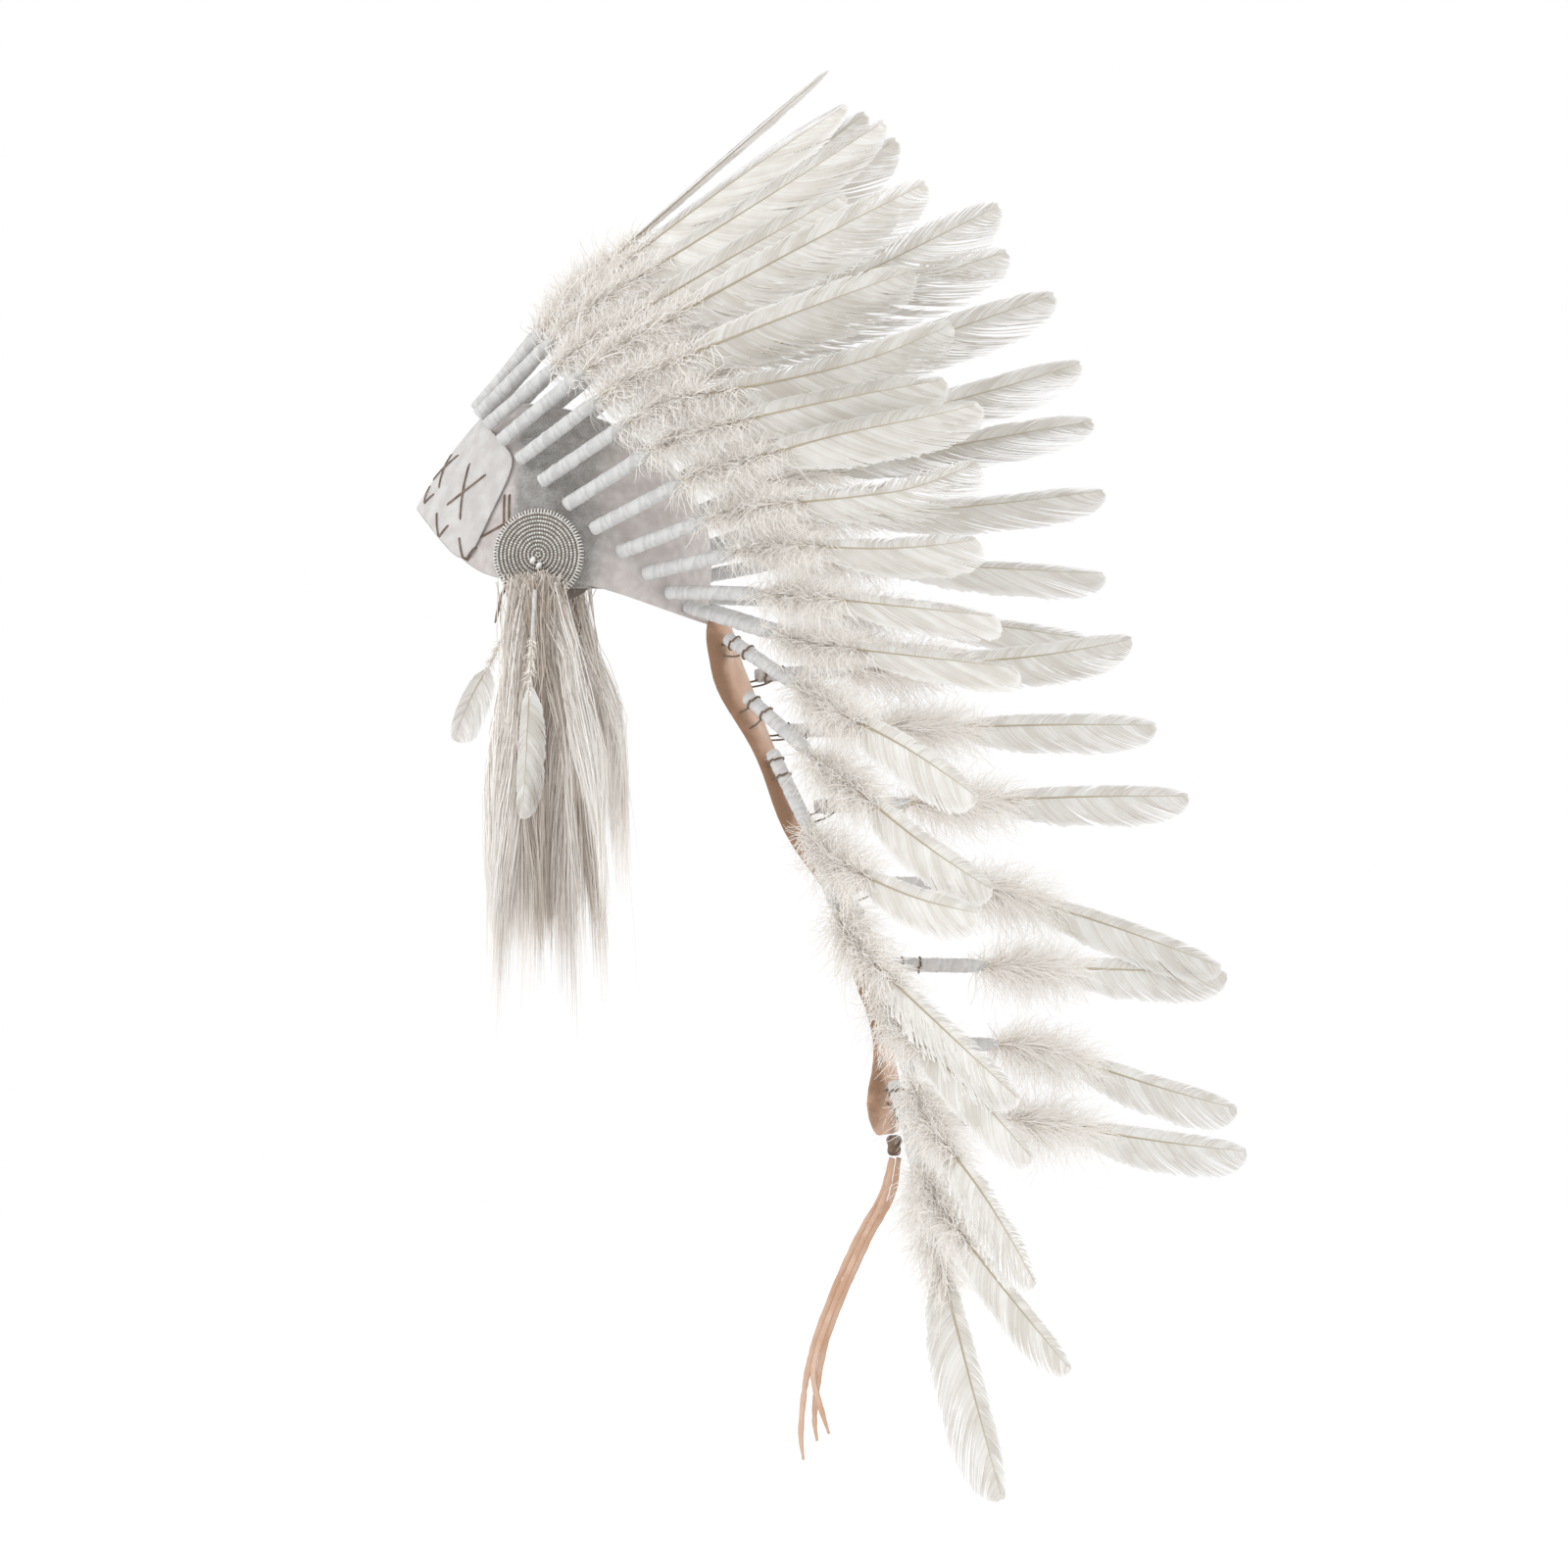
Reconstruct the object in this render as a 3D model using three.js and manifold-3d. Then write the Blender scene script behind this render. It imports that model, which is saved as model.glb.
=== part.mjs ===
// A white feathered headdress with a long trailer, in millimetres.
// +Z is up, -X is the wearer's front and -Y the wearer's left side. The origin is where the
// crown of the head touches the cap from inside. The head tips back, so the cap does too.
import * as THREE from "three";
import Module from "manifold-3d";

const wasm = await Module();
wasm.setup();

// ---- driving sizes -------------------------------------------------------------------------
const HEAD_TILT = THREE.MathUtils.degToRad(22.8);
const WALL = 2.4; // leather of the cap
const GAP = 0.4; // left between pieces that touch

// The cap's lower edge and the ring of quill ends are two tilted ellipses.
const RIM = { centre: [-38.8, 0, -102.4], toFront: [-110.7, 0, 43.6], halfWide: 85 };
const RING = { centre: [-16, 0, -63], toFront: [-87.7, 0, 79.3], halfWide: 88 };
const TEMPLE_DIP = { depth: 28, angle: 66, spread: 28 }; // the rim hangs lower at the temples
const SIDE_BULGE = 3; // how far the side leather stands out between rim and ring
const HEAD_CENTRE = new THREE.Vector3(-38, 0, -85);
const CAP_COLUMNS = 30;

const BAND = { columns: 10, thick: 2, gap: 0.8, climbs: [0, 0.5, 1] }; // its columns are the cap's

const QUILL_R = 5.2;
const RING_STEP = 12.6; // degrees between neighbouring quills
const SHINGLE = 25; // degrees that a vane is turned so that it passes under the next
const BEND = [0.19, 0.36]; // where the quill's heading gives way to the vane's, by length
const QUILL_SPREAD = 0.28; // a crown quill spreads this much of what its vane spreads

// ---- feathers ------------------------------------------------------------------------------
// One feather in sections: at is the share of its length, wide and thick are half sizes in
// millimetres (a vane's wide is a share of the feather's width), shift moves the middle off the
// quill line, also as a share of the width, and lobe is how deep the down's locks are cut.
const SECTIONS = [
  { at: 0.0, wide: 2.8, thick: 2.8, lobe: 0 },
  { at: 0.012, wide: QUILL_R, thick: QUILL_R, lobe: 0 },
  { at: 0.2, wide: QUILL_R, thick: QUILL_R, lobe: 0 },
  { at: 0.23, wide: 8, thick: 8.5, lobe: 0.2 },
  { at: 0.31, wide: 9.6, thick: 12.5, lobe: 0.4 },
  { at: 0.4, wide: 9.4, thick: 10, lobe: 0.4 },
  { at: 0.5, vane: 0.36, thick: 1.8, shift: 0.12, lobe: 0 },
  { at: 0.62, vane: 0.48, thick: 1.2, shift: 0.2, lobe: 0 },
  { at: 0.84, vane: 0.5, thick: 1.0, shift: 0.22, lobe: 0 },
  { at: 0.95, vane: 0.34, thick: 0.9, shift: 0.14, lobe: 0 },
  { at: 1.0, vane: 0.07, thick: 0.6, shift: 0, lobe: 0 },
];

// Crown feathers in pairs from the front to the nape. quill is the quill's climb in degrees.
// Then, on each side: climb of the vane, its spread away from the middle, and the length.
const CROWN = [
  { quill: 51, left: [40, 0, 358] },
  { quill: 48, left: [34, 3, 354], right: [34, 5, 358] },
  { quill: 44, left: [30, 6, 370], right: [32, 9, 362] },
  { quill: 39, left: [27, 10, 318], right: [29, 11, 332] },
  { quill: 38, left: [24, 14, 374], right: [25, 14, 396] },
  { quill: 35, left: [15, 24, 352], right: [24, 15, 376] },
  { quill: 32, left: [8, 28, 358], right: [20, 16, 384] },
  { quill: 30, left: [6, 33, 352], right: [14, 17, 374] },
  { quill: 25, left: [6, 36, 362], right: [11, 21, 360] },
  { quill: 18, left: [2, 42, 348], right: [6, 28, 352] },
  { quill: 11, left: [-1, 45, 345], right: [-2, 36, 347] },
  { quill: -2, left: [-5, 47, 350], right: [-6, 41, 347] },
  { quill: -17, left: [-5, 45, 345], right: [-2, 58, 325] },
];
const CROWN_WIDTH = 41;
const FACE_UP = { from: 60, to: 150, most: 1.3 }; // towards the nape the vanes stand on edge

// Trailer feathers, from the nape down. z is where the quill is tied on, quill and vane are
// the climb and the spread of each, lean turns the broad side forward from straight down, and
// inset ties the quill on nearer the strip's middle.
const TRAIL_LEFT = [
  { z: -157, quill: [-31, 20], vane: [-17, 52], length: 325, width: 34, lean: 20 },
  { z: -200, quill: [-38, 20], vane: [-20, 51], length: 325, width: 34, lean: 20 },
  { z: -241, quill: [-58, 30], vane: [-8, 54], length: 325, width: 33, lean: 0 },
  { z: -294, quill: [-62, 42], vane: [-27, 46], length: 325, width: 31, lean: 25 },
  { z: -351, quill: [-62, 42], vane: [-22, 55], length: 325, width: 29, lean: 35 },
  { z: -416, quill: [-62, 42], vane: [-27, 60], length: 325, width: 29, lean: 40 },
  { z: -478, quill: [-62, 42], vane: [-26, 55], length: 325, width: 27, lean: 45 },
  { z: -488, quill: [-73, 35], vane: [-62, 51], length: 310, width: 37, lean: 80, inset: 21 },
];
const TRAIL_RIGHT = [
  { z: -183, quill: [4, 14], vane: [6, 43], length: 325, width: 32, lean: 0 },
  { z: -224, quill: [1, 14], vane: [1, 43], length: 325, width: 31, lean: 0 },
  { z: -280, quill: [2, 14], vane: [1, 44], length: 325, width: 31, lean: 0 },
  { z: -337, quill: [0, 14], vane: [-16, 46], length: 332, width: 32, lean: 0 },
  { z: -395, quill: [-1, 14], vane: [-3, 54], length: 325, width: 32, lean: 0 },
  { z: -453, quill: [0, 14], vane: [-14, 53], length: 325, width: 33, lean: 0 },
  { z: -506, quill: [-2, 14], vane: [-8, 53], length: 328, width: 33, lean: 0 },
];
const TRAIL_SHINGLE = 12;
const TRAIL_PLUME = 1.25; // there is more room for down here than in the crown

// ---- trailer -------------------------------------------------------------------------------
// The suede strip's middle line from the nape down, and how wide it is there, edge to edge.
const TRAILER_LINE = [
  { x: 79.5, z: -139, width: 60 },
  { x: 94, z: -185, width: 66 },
  { x: 118, z: -240, width: 66 },
  { x: 155, z: -312, width: 64 },
  { x: 189, z: -375, width: 62 },
  { x: 203, z: -440, width: 58 },
  { x: 207, z: -515, width: 48 },
];
// Across the strip: side is a share of the half width, forward how far the edge turns forward.
const TRAILER_ACROSS = [
  { side: -1, forward: 11 },
  { side: -0.86, forward: 4 },
  { side: -0.6, forward: 0.5 },
  { side: 0, forward: 0 },
  { side: 0.6, forward: 0.5 },
  { side: 0.86, forward: 4 },
  { side: 1, forward: 11 },
];
const TRAILER_THICK = 2;
const TRAILER_STEPS = 10;

// ---- temple ornaments and ties -------------------------------------------------------------
// Each temple has its own frame: x to the back, y outwards and z up from the rosette's middle.
const TEMPLES = [
  { name: "left", side: -1, place: [-39, -89.6, -96.5], turn: 0 },
  { name: "right", side: 1, place: [-64, 86.4, -91], turn: 10 },
];
const ROSETTE = { radius: 33, thick: 4 };
const BEAD = { halfLong: 3.3, halfWide: 2.1, lean: 25 };
const BEADS = [
  { x: -3.2, z: -4.1 },
  { x: 1.4, z: -8.1 },
];
const THONG = { halfWide: 1.9, halfThick: 1, steps: 14 };
const THONG_ROUTE = { // x and z, from the front end over the fur's head to the back end
  left: [[-31, -49], [-24, -25], [-10, -16], [0, -13], [8, -21], [13, -40], [19, -61]],
  right: [[-34, -40], [-25, -24], [-11, -16], [0, -13], [8, -21], [12, -38], [17, -58]],
};
const DROP_FEATHERS = {
  left: { from: [6, -27], to: [-3, -190], out: 41, width: 20, turn: 24 },
  right: { from: [-35, -45], to: [-78, -138], out: 8, width: 24, turn: 8 },
};
const DROP_QUILL = 0.24; // of a full quill's thickness

const FUR = { top: -18, out: 17, flat: 0.8 };
// Fur locks: x is where the tip hangs from the middle, out how far it stands off, long its
// length, thick its half thickness.
const FUR_LOCKS = [
  { x: -36, out: -4, long: 300, thick: 12 },
  { x: -24, out: 5, long: 330, thick: 13 },
  { x: -10, out: -7, long: 278, thick: 15 },
  { x: 2, out: 6, long: 285, thick: 16 },
  { x: 14, out: -5, long: 278, thick: 14 },
  { x: 31, out: 2, long: 322, thick: 12 },
  { x: 56, out: 4, long: 246, thick: 12 },
];
const FUR_SECTIONS = [
  { at: 0, size: 0.38, spread: 0 },
  { at: 0.13, size: 0.8, spread: 0.24 },
  { at: 0.5, size: 1.0, spread: 0.62 },
  { at: 0.82, size: 0.78, spread: 0.9 },
  { at: 1, size: 0.08, spread: 1 },
];

const TIE = { halfWide: 2.2, halfThick: 0.8, steps: 19 };
const TIE_ROUTES = [ // x, y and z of each strip, from the knot down
  [
    [205, -7, -533], [198, -9, -560], [183, -14, -587], [166, -20, -625],
    [152, -25, -664], [145, -28, -696], [142, -30, -731], [144, -31, -751],
  ],
  [
    [210, -5, -533], [205, -7, -561], [190, -12, -590], [173, -17, -628],
    [159, -21, -666], [153, -23, -697], [151, -24, -722], [153, -25, -738],
  ],
  [
    [207, -14, -533], [201, -17, -561], [187, -22, -590], [170, -28, -629],
    [156, -33, -667], [152, -35, -690], [158, -37, -713], [164, -38, -731],
  ],
];
const KNOT = { x: 207, y: -8, top: -516.5, tall: 15, radius: 7 };

// ---- small helpers -------------------------------------------------------------------------
const rad = THREE.MathUtils.degToRad;
const vec = (x, y, z) => new THREE.Vector3(x, y, z);
const UP = vec(Math.sin(HEAD_TILT), 0, Math.cos(HEAD_TILT)); // the head's own up
const mix = (a, b, t) => a + (b - a) * t;

function smoothstep(from, to, t) {
  return THREE.MathUtils.smoothstep(t, from, to);
}

// A closed skin through rings of equally many points, with flat fans at both ends.
function loft(rings) {
  const count = rings[0].length;
  const points = rings.flat();
  const faces = [];
  for (let i = 0; i + 1 < rings.length; i++) {
    for (let k = 0; k < count; k++) {
      const a = i * count + k;
      const b = i * count + ((k + 1) % count);
      faces.push([a, b, b + count], [a, b + count, a + count]);
    }
  }
  const last = (rings.length - 1) * count;
  for (let k = 1; k + 1 < count; k++) {
    faces.push([0, k + 1, k], [last, last + k, last + k + 1]);
  }
  return solid(points, faces);
}

// A sheet with thickness, from two grids of points that lie over each other.
function slab(back, front) {
  const rows = back.length;
  const columns = back[0].length;
  const offset = rows * columns;
  const at = (i, k) => i * columns + k;
  const faces = [];
  for (let i = 0; i + 1 < rows; i++) {
    for (let k = 0; k + 1 < columns; k++) {
      const [a, b, c, d] = [at(i, k), at(i, k + 1), at(i + 1, k + 1), at(i + 1, k)];
      faces.push([a, b, c], [a, c, d]);
      faces.push([offset + a, offset + c, offset + b], [offset + a, offset + d, offset + c]);
    }
  }
  const edge = [];
  for (let k = 0; k + 1 < columns; k++) edge.push(at(0, k));
  for (let i = 0; i + 1 < rows; i++) edge.push(at(i, columns - 1));
  for (let k = columns - 1; k > 0; k--) edge.push(at(rows - 1, k));
  for (let i = rows - 1; i > 0; i--) edge.push(at(i, 0));
  edge.forEach((p, i) => {
    const q = edge[(i + 1) % edge.length];
    faces.push([q, p, offset + p], [q, offset + p, offset + q]);
  });
  return solid([...back.flat(), ...front.flat()], faces);
}

// Points and triangles as a geometry, turned so that its faces point out.
function solid(points, faces) {
  let volume = 0;
  for (const [a, b, c] of faces) {
    volume += points[a].dot(vec(0, 0, 0).crossVectors(points[b], points[c]));
  }
  const order = volume < 0 ? faces.map(([a, b, c]) => [a, c, b]) : faces;
  const geometry = new THREE.BufferGeometry();
  geometry.setAttribute(
    "position",
    new THREE.Float32BufferAttribute(points.flatMap((p) => p.toArray()), 3),
  );
  geometry.setIndex(order.flat());
  geometry.computeVertexNormals();
  return geometry;
}

function asManifold(geometry) {
  return new wasm.Manifold(
    new wasm.Mesh({
      numProp: 3,
      vertProperties: new Float32Array(geometry.attributes.position.array),
      triVerts: new Uint32Array(geometry.index.array),
    }),
  );
}

function fuse(geometries) {
  const whole = geometries.map(asManifold).reduce((sum, next) => sum.add(next));
  const mesh = whole.getMesh();
  const geometry = new THREE.BufferGeometry();
  geometry.setAttribute("position", new THREE.BufferAttribute(mesh.vertProperties, 3));
  geometry.setIndex(new THREE.BufferAttribute(mesh.triVerts, 1));
  geometry.computeVertexNormals();
  return geometry;
}

// A point of a tilted ellipse at an angle from the front, positive to the wearer's right.
function onEllipse({ centre, toFront, halfWide }, degrees) {
  const turn = rad(degrees);
  return vec(...centre)
    .addScaledVector(vec(...toFront), Math.cos(turn))
    .add(vec(0, halfWide * Math.sin(turn), 0));
}

// ---- cap and brow band ---------------------------------------------------------------------
function rimPoint(degrees) {
  const off = (Math.abs(degrees) - TEMPLE_DIP.angle) / TEMPLE_DIP.spread;
  const point = onEllipse(RIM, degrees);
  point.z -= TEMPLE_DIP.depth * Math.exp(-off * off) * smoothstep(0, 30, Math.abs(degrees));
  return point;
}

// The cap's outside from the rim (climb 0) to the ring of quills (climb 1), then over the head.
function capPoint(degrees, climb) {
  const shoulder = onEllipse(RING, degrees);
  const outward = shoulder.clone().sub(vec(...RING.centre)).normalize();
  shoulder.addScaledVector(outward, -(QUILL_R + BAND.thick + BAND.gap + GAP));
  if (climb <= 1) {
    const side = rimPoint(degrees).lerp(shoulder, climb);
    return side.addScaledVector(outward, SIDE_BULGE * Math.sin(Math.PI * climb));
  }
  const apex = UP.clone().multiplyScalar(WALL);
  const reach = shoulder.sub(apex);
  const rise = reach.dot(UP);
  const flat = reach.addScaledVector(UP, -rise);
  const turn = (Math.PI / 2) * (2 - climb);
  return apex.addScaledVector(flat, Math.sin(turn)).addScaledVector(UP, rise * (1 - Math.cos(turn)));
}

function inward(point, distance) {
  const toCentre = HEAD_CENTRE.clone().sub(point).normalize();
  return point.clone().addScaledVector(toCentre, distance);
}

function capGeometry() {
  const climbs = [0, 0.5, 1, 1.25, 1.5, 1.75];
  const top = capPoint(0, 2);
  const angles = Array.from({ length: CAP_COLUMNS }, (_, k) => (360 * k) / CAP_COLUMNS - 180);
  const outside = climbs.map((climb) => angles.map((angle) => capPoint(angle, climb)));
  const inside = outside.map((row) => row.map((point) => inward(point, WALL)));
  const rows = [...inside.reverse(), ...outside];
  const points = [inward(top, WALL), ...rows.flat(), top];
  const faces = [];
  const at = (row, k) => 1 + row * CAP_COLUMNS + (k % CAP_COLUMNS);
  for (let k = 0; k < CAP_COLUMNS; k++) {
    faces.push([0, at(0, k + 1), at(0, k)]);
    for (let row = 0; row + 1 < rows.length; row++) {
      faces.push([at(row, k), at(row, k + 1), at(row + 1, k + 1)]);
      faces.push([at(row, k), at(row + 1, k + 1), at(row + 1, k)]);
    }
    faces.push([points.length - 1, at(rows.length - 1, k), at(rows.length - 1, k + 1)]);
  }
  return solid(points, faces);
}

function browBandGeometry() {
  const inner = [];
  const outer = [];
  for (let k = 0; k <= BAND.columns; k++) {
    const angle = (k - BAND.columns / 2) * (360 / CAP_COLUMNS);
    const side = BAND.climbs.map((climb) => capPoint(angle, climb));
    inner.push(side.map((point) => inward(point, -BAND.gap)));
    outer.push(side.map((point) => inward(point, -BAND.gap - BAND.thick)));
  }
  return slab(inner, outer);
}

// ---- feather -------------------------------------------------------------------------------
function heading(climb, spread, side) {
  return vec(
    Math.cos(climb) * Math.cos(spread),
    side * Math.cos(climb) * Math.sin(spread),
    Math.sin(climb),
  );
}

// The feather's middle line: the quill leaves at its own climb and spread, then the vane's
// take over.
function featherLine({ root, quill, vane, side, length }) {
  const steps = 60;
  const places = [root.clone()];
  const headings = [];
  for (let i = 0; i < steps; i++) {
    const turn = smoothstep(...BEND, (i + 0.5) / steps);
    const [climb, spread] = [mix(quill[0], vane[0], turn), mix(quill[1], vane[1], turn)];
    const go = heading(rad(climb), rad(spread), side);
    headings.push(go);
    places.push(places[i].clone().addScaledVector(go, length / steps));
  }
  headings.push(headings[steps - 1]);
  return (share) => {
    const i = Math.round(share * steps);
    const rest = (share - i / steps) * length;
    return { place: places[i].clone().addScaledVector(headings[i], rest), go: headings[i] };
  };
}

// across points from the leading edge to the trailing edge, and turned is the shingle.
function featherGeometry(feather) {
  const line = featherLine(feather);
  const start = vec(0, 0, 0).crossVectors(line(0).go, feather.across);
  const handed = Math.sign(start.dot(feather.outward));
  const rings = SECTIONS.map((section, row) => {
    const { place, go } = line(section.at);
    const across = feather.across.clone().addScaledVector(go, -feather.across.dot(go)).normalize();
    const outward = vec(0, 0, 0).crossVectors(go, across).multiplyScalar(handed);
    const turn = rad(feather.shingle) * smoothstep(0.25, 0.5, section.at);
    const wideWay = across.clone().multiplyScalar(Math.cos(turn)).addScaledVector(outward, -Math.sin(turn));
    const thickWay = outward.clone().multiplyScalar(Math.cos(turn)).addScaledVector(across, Math.sin(turn));
    const size = (feather.stem ?? 1) * (section.lobe > 0 ? feather.plume ?? 1 : 1);
    const wide = section.vane ? section.vane * feather.width : section.wide * size;
    const thick = section.vane ? section.thick : section.thick * size;
    place.addScaledVector(wideWay, (section.shift ?? 0) * feather.width * (feather.lean ?? 1));
    return Array.from({ length: 8 }, (_, k) => {
      const angle = (Math.PI / 4) * k;
      const cut = 1 - section.lobe * ((k + row) % 2);
      return place
        .clone()
        .addScaledVector(wideWay, wide * cut * Math.cos(angle))
        .addScaledVector(thickWay, thick * cut * Math.sin(angle));
    });
  });
  return loft(rings);
}

function crownFeather(pair, side, [climb, spread, length], quill) {
  const angle = pair * RING_STEP * side;
  const root = onEllipse(RING, angle);
  const next = onEllipse(RING, angle + (side || 1));
  const across = next.sub(root).normalize();
  across.z -= FACE_UP.most * smoothstep(FACE_UP.from, FACE_UP.to, Math.abs(angle));
  return featherGeometry({
    root,
    quill: [quill, QUILL_SPREAD * spread],
    vane: [climb, spread],
    side: side || 1,
    length,
    width: pair === 0 ? 28 : CROWN_WIDTH,
    lean: pair === 0 ? 0 : 1,
    across,
    outward: root.clone().sub(vec(...RING.centre)),
    shingle: pair === 0 ? 0 : SHINGLE,
  });
}

// ---- trailer -------------------------------------------------------------------------------
const trailerCurve = new THREE.CatmullRomCurve3(
  TRAILER_LINE.map(({ x, z, width }) => vec(x, width, z)), // the width rides along as y
);

function trailerAt(share) {
  const point = trailerCurve.getPoint(share);
  const down = trailerCurve.getTangent(share);
  down.y = 0;
  down.normalize();
  return {
    middle: vec(point.x, 0, point.z),
    down,
    forward: vec(down.z, 0, -down.x), // towards the wearer
    halfWide: point.y / 2,
  };
}

function trailerGeometry() {
  const back = [];
  const front = [];
  for (let i = 0; i <= TRAILER_STEPS; i++) {
    const { middle, down, forward, halfWide } = trailerAt(i / TRAILER_STEPS);
    const row = TRAILER_ACROSS.map(({ side, forward: turned }) => {
      return middle.clone().add(vec(0, side * halfWide, 0)).addScaledVector(forward, turned);
    });
    back.push(row);
    front.push(row.map((point, k) => {
      const before = row[Math.max(k - 1, 0)];
      const after = row[Math.min(k + 1, row.length - 1)];
      const inside = vec(0, 0, 0).crossVectors(after.clone().sub(before), down).normalize();
      return point.clone().addScaledVector(inside, TRAILER_THICK);
    }));
  }
  return slab(back, front);
}

function shareAtHeight(z) {
  let low = 0;
  let high = 1;
  for (let i = 0; i < 30; i++) {
    const middle = (low + high) / 2;
    if (trailerCurve.getPoint(middle).z > z) low = middle;
    else high = middle;
  }
  return low;
}

function trailFeather({ z, quill, vane, length, width, lean, inset = 0 }, side) {
  const { middle, forward, halfWide } = trailerAt(shareAtHeight(z));
  const root = middle
    .clone()
    .add(vec(0, side * (halfWide + 3.2 - inset), 0))
    .addScaledVector(forward, -(QUILL_R - 1 + 0.1 * inset));
  return featherGeometry({
    root,
    quill,
    vane,
    side,
    length,
    width,
    plume: TRAIL_PLUME,
    across: vec(-Math.sin(rad(lean)), 0, -Math.cos(rad(lean))),
    outward: vec(0.3, side, 0),
    shingle: TRAIL_SHINGLE,
  });
}

// ---- temple ornaments ----------------------------------------------------------------------
// Made facing +Y, which is outwards; the left temple's are mirrored through side.
function rosetteGeometry(side) {
  const { radius, thick } = ROSETTE;
  const profile = [
    [0, 0],
    [radius - 1, 0],
    [radius, thick * 0.35],
    [radius - 1, thick * 0.8],
    [radius * 0.5, thick],
    [0, thick],
  ].map(([r, h]) => new THREE.Vector2(r, h));
  const geometry = new THREE.LatheGeometry(profile, 28);
  if (side < 0) geometry.rotateX(Math.PI);
  return geometry;
}

function beadGeometry({ x, z }, side) {
  const geometry = new THREE.SphereGeometry(1, 10, 6);
  geometry.scale(BEAD.halfWide, BEAD.halfWide, BEAD.halfLong);
  geometry.rotateY(rad(BEAD.lean));
  geometry.translate(x, side * (ROSETTE.thick + GAP + BEAD.halfWide), z);
  return geometry;
}

// A flat strap along a route, its wide way kept square to the given direction.
function strapGeometry(route, { halfWide, halfThick, steps }) {
  const curve = new THREE.CatmullRomCurve3(route);
  const rings = [];
  for (let i = 0; i <= steps; i++) {
    const place = curve.getPoint(i / steps);
    const go = curve.getTangent(i / steps);
    const wideWay = vec(0, 0, 0).crossVectors(go, vec(0, 1, 0)).normalize();
    const thickWay = vec(0, 0, 0).crossVectors(wideWay, go);
    rings.push(
      Array.from({ length: 8 }, (_, k) => {
        const angle = (Math.PI / 4) * k;
        return place
          .clone()
          .addScaledVector(wideWay, halfWide * Math.cos(angle))
          .addScaledVector(thickWay, halfThick * Math.sin(angle));
      }),
    );
  }
  return loft(rings);
}

function thongGeometry(route, side) {
  const out = ROSETTE.thick + GAP + THONG.halfThick;
  return strapGeometry(route.map(([x, z]) => vec(x, side * out, z)), THONG);
}

function furDropGeometry(side) {
  const head = vec(0, side * FUR.out, FUR.top);
  const locks = FUR_LOCKS.map(({ x, out, long, thick }) => {
    const rings = FUR_SECTIONS.map(({ at, size, spread }) => {
      const middle = head.clone().add(vec(x * spread, side * out * spread, -long * at));
      return Array.from({ length: 6 }, (_, k) => {
        const angle = (Math.PI / 3) * k;
        const reach = vec(Math.cos(angle), FUR.flat * Math.sin(angle), 0);
        return middle.clone().addScaledVector(reach, thick * size);
      });
    });
    return loft(rings);
  });
  return fuse(locks);
}

function dropFeather({ from, to, out, width, turn }, side) {
  const root = vec(from[0], side * out, from[1]);
  const go = vec(to[0], side * out, to[1]).sub(root);
  const climb = THREE.MathUtils.radToDeg(Math.asin(go.z / go.length()));
  return featherGeometry({
    root,
    quill: [climb, 180],
    vane: [climb, 180],
    side,
    length: go.length(),
    width,
    stem: DROP_QUILL,
    across: vec(1, 0, 0.2),
    outward: vec(0, side, 0),
    shingle: turn,
  });
}

// ---- ties ----------------------------------------------------------------------------------
function knotGeometry() {
  const { x, y, top, tall, radius } = KNOT;
  const profile = [
    [0, -tall],
    [radius * 0.6, -tall],
    [radius * 0.85, -tall * 0.75],
    [radius * 0.6, -tall * 0.5],
    [radius, -tall * 0.28],
    [radius * 0.7, 0],
    [0, 0],
  ].map(([r, h]) => new THREE.Vector2(r, h));
  const geometry = new THREE.LatheGeometry(profile, 10);
  geometry.rotateX(Math.PI / 2);
  geometry.translate(x, y, top);
  return geometry;
}

function tieGeometry(route) {
  return strapGeometry(route.map((point) => vec(...point)), TIE);
}

// ---- the headdress -------------------------------------------------------------------------
const FINISH = {
  leather: { color: 0xc9c6c4, roughness: 0.75 },
  suede: { color: 0xcf9a78, roughness: 0.9 },
  feather: { color: 0xe4e0d8, roughness: 0.7 },
  beadwork: { color: 0xbfbcb8, roughness: 0.3 },
  bead: { color: 0xf0eee8, roughness: 0.3 },
  thong: { color: 0x7a6553, roughness: 0.85 },
  fur: { color: 0xded8d0, roughness: 0.9 },
};

const headdress = new THREE.Group();

function add(name, geometry, finish, parent = headdress) {
  const material = new THREE.MeshStandardMaterial({ ...FINISH[finish], metalness: 0 });
  const mesh = new THREE.Mesh(geometry, material);
  mesh.name = name;
  parent.add(mesh);
}

add("cap", capGeometry(), "leather");
add("brow_band", browBandGeometry(), "leather");
add("trailer", trailerGeometry(), "suede");

// Crown feathers are numbered from the left of the nape over the front to the right.
CROWN.forEach(({ quill, left, right }, pair) => {
  const number = (k) => String(CROWN.length - 1 + k).padStart(2, "0");
  add(`crown_feather_${number(-pair)}`, crownFeather(pair, pair ? -1 : 0, left, quill), "feather");
  if (right) add(`crown_feather_${number(pair)}`, crownFeather(pair, 1, right, quill), "feather");
});

TRAIL_LEFT.forEach((row, k) => add(`trail_feather_left_${k + 1}`, trailFeather(row, -1), "feather"));
TRAIL_RIGHT.forEach((row, k) => add(`trail_feather_right_${k + 1}`, trailFeather(row, 1), "feather"));

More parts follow.
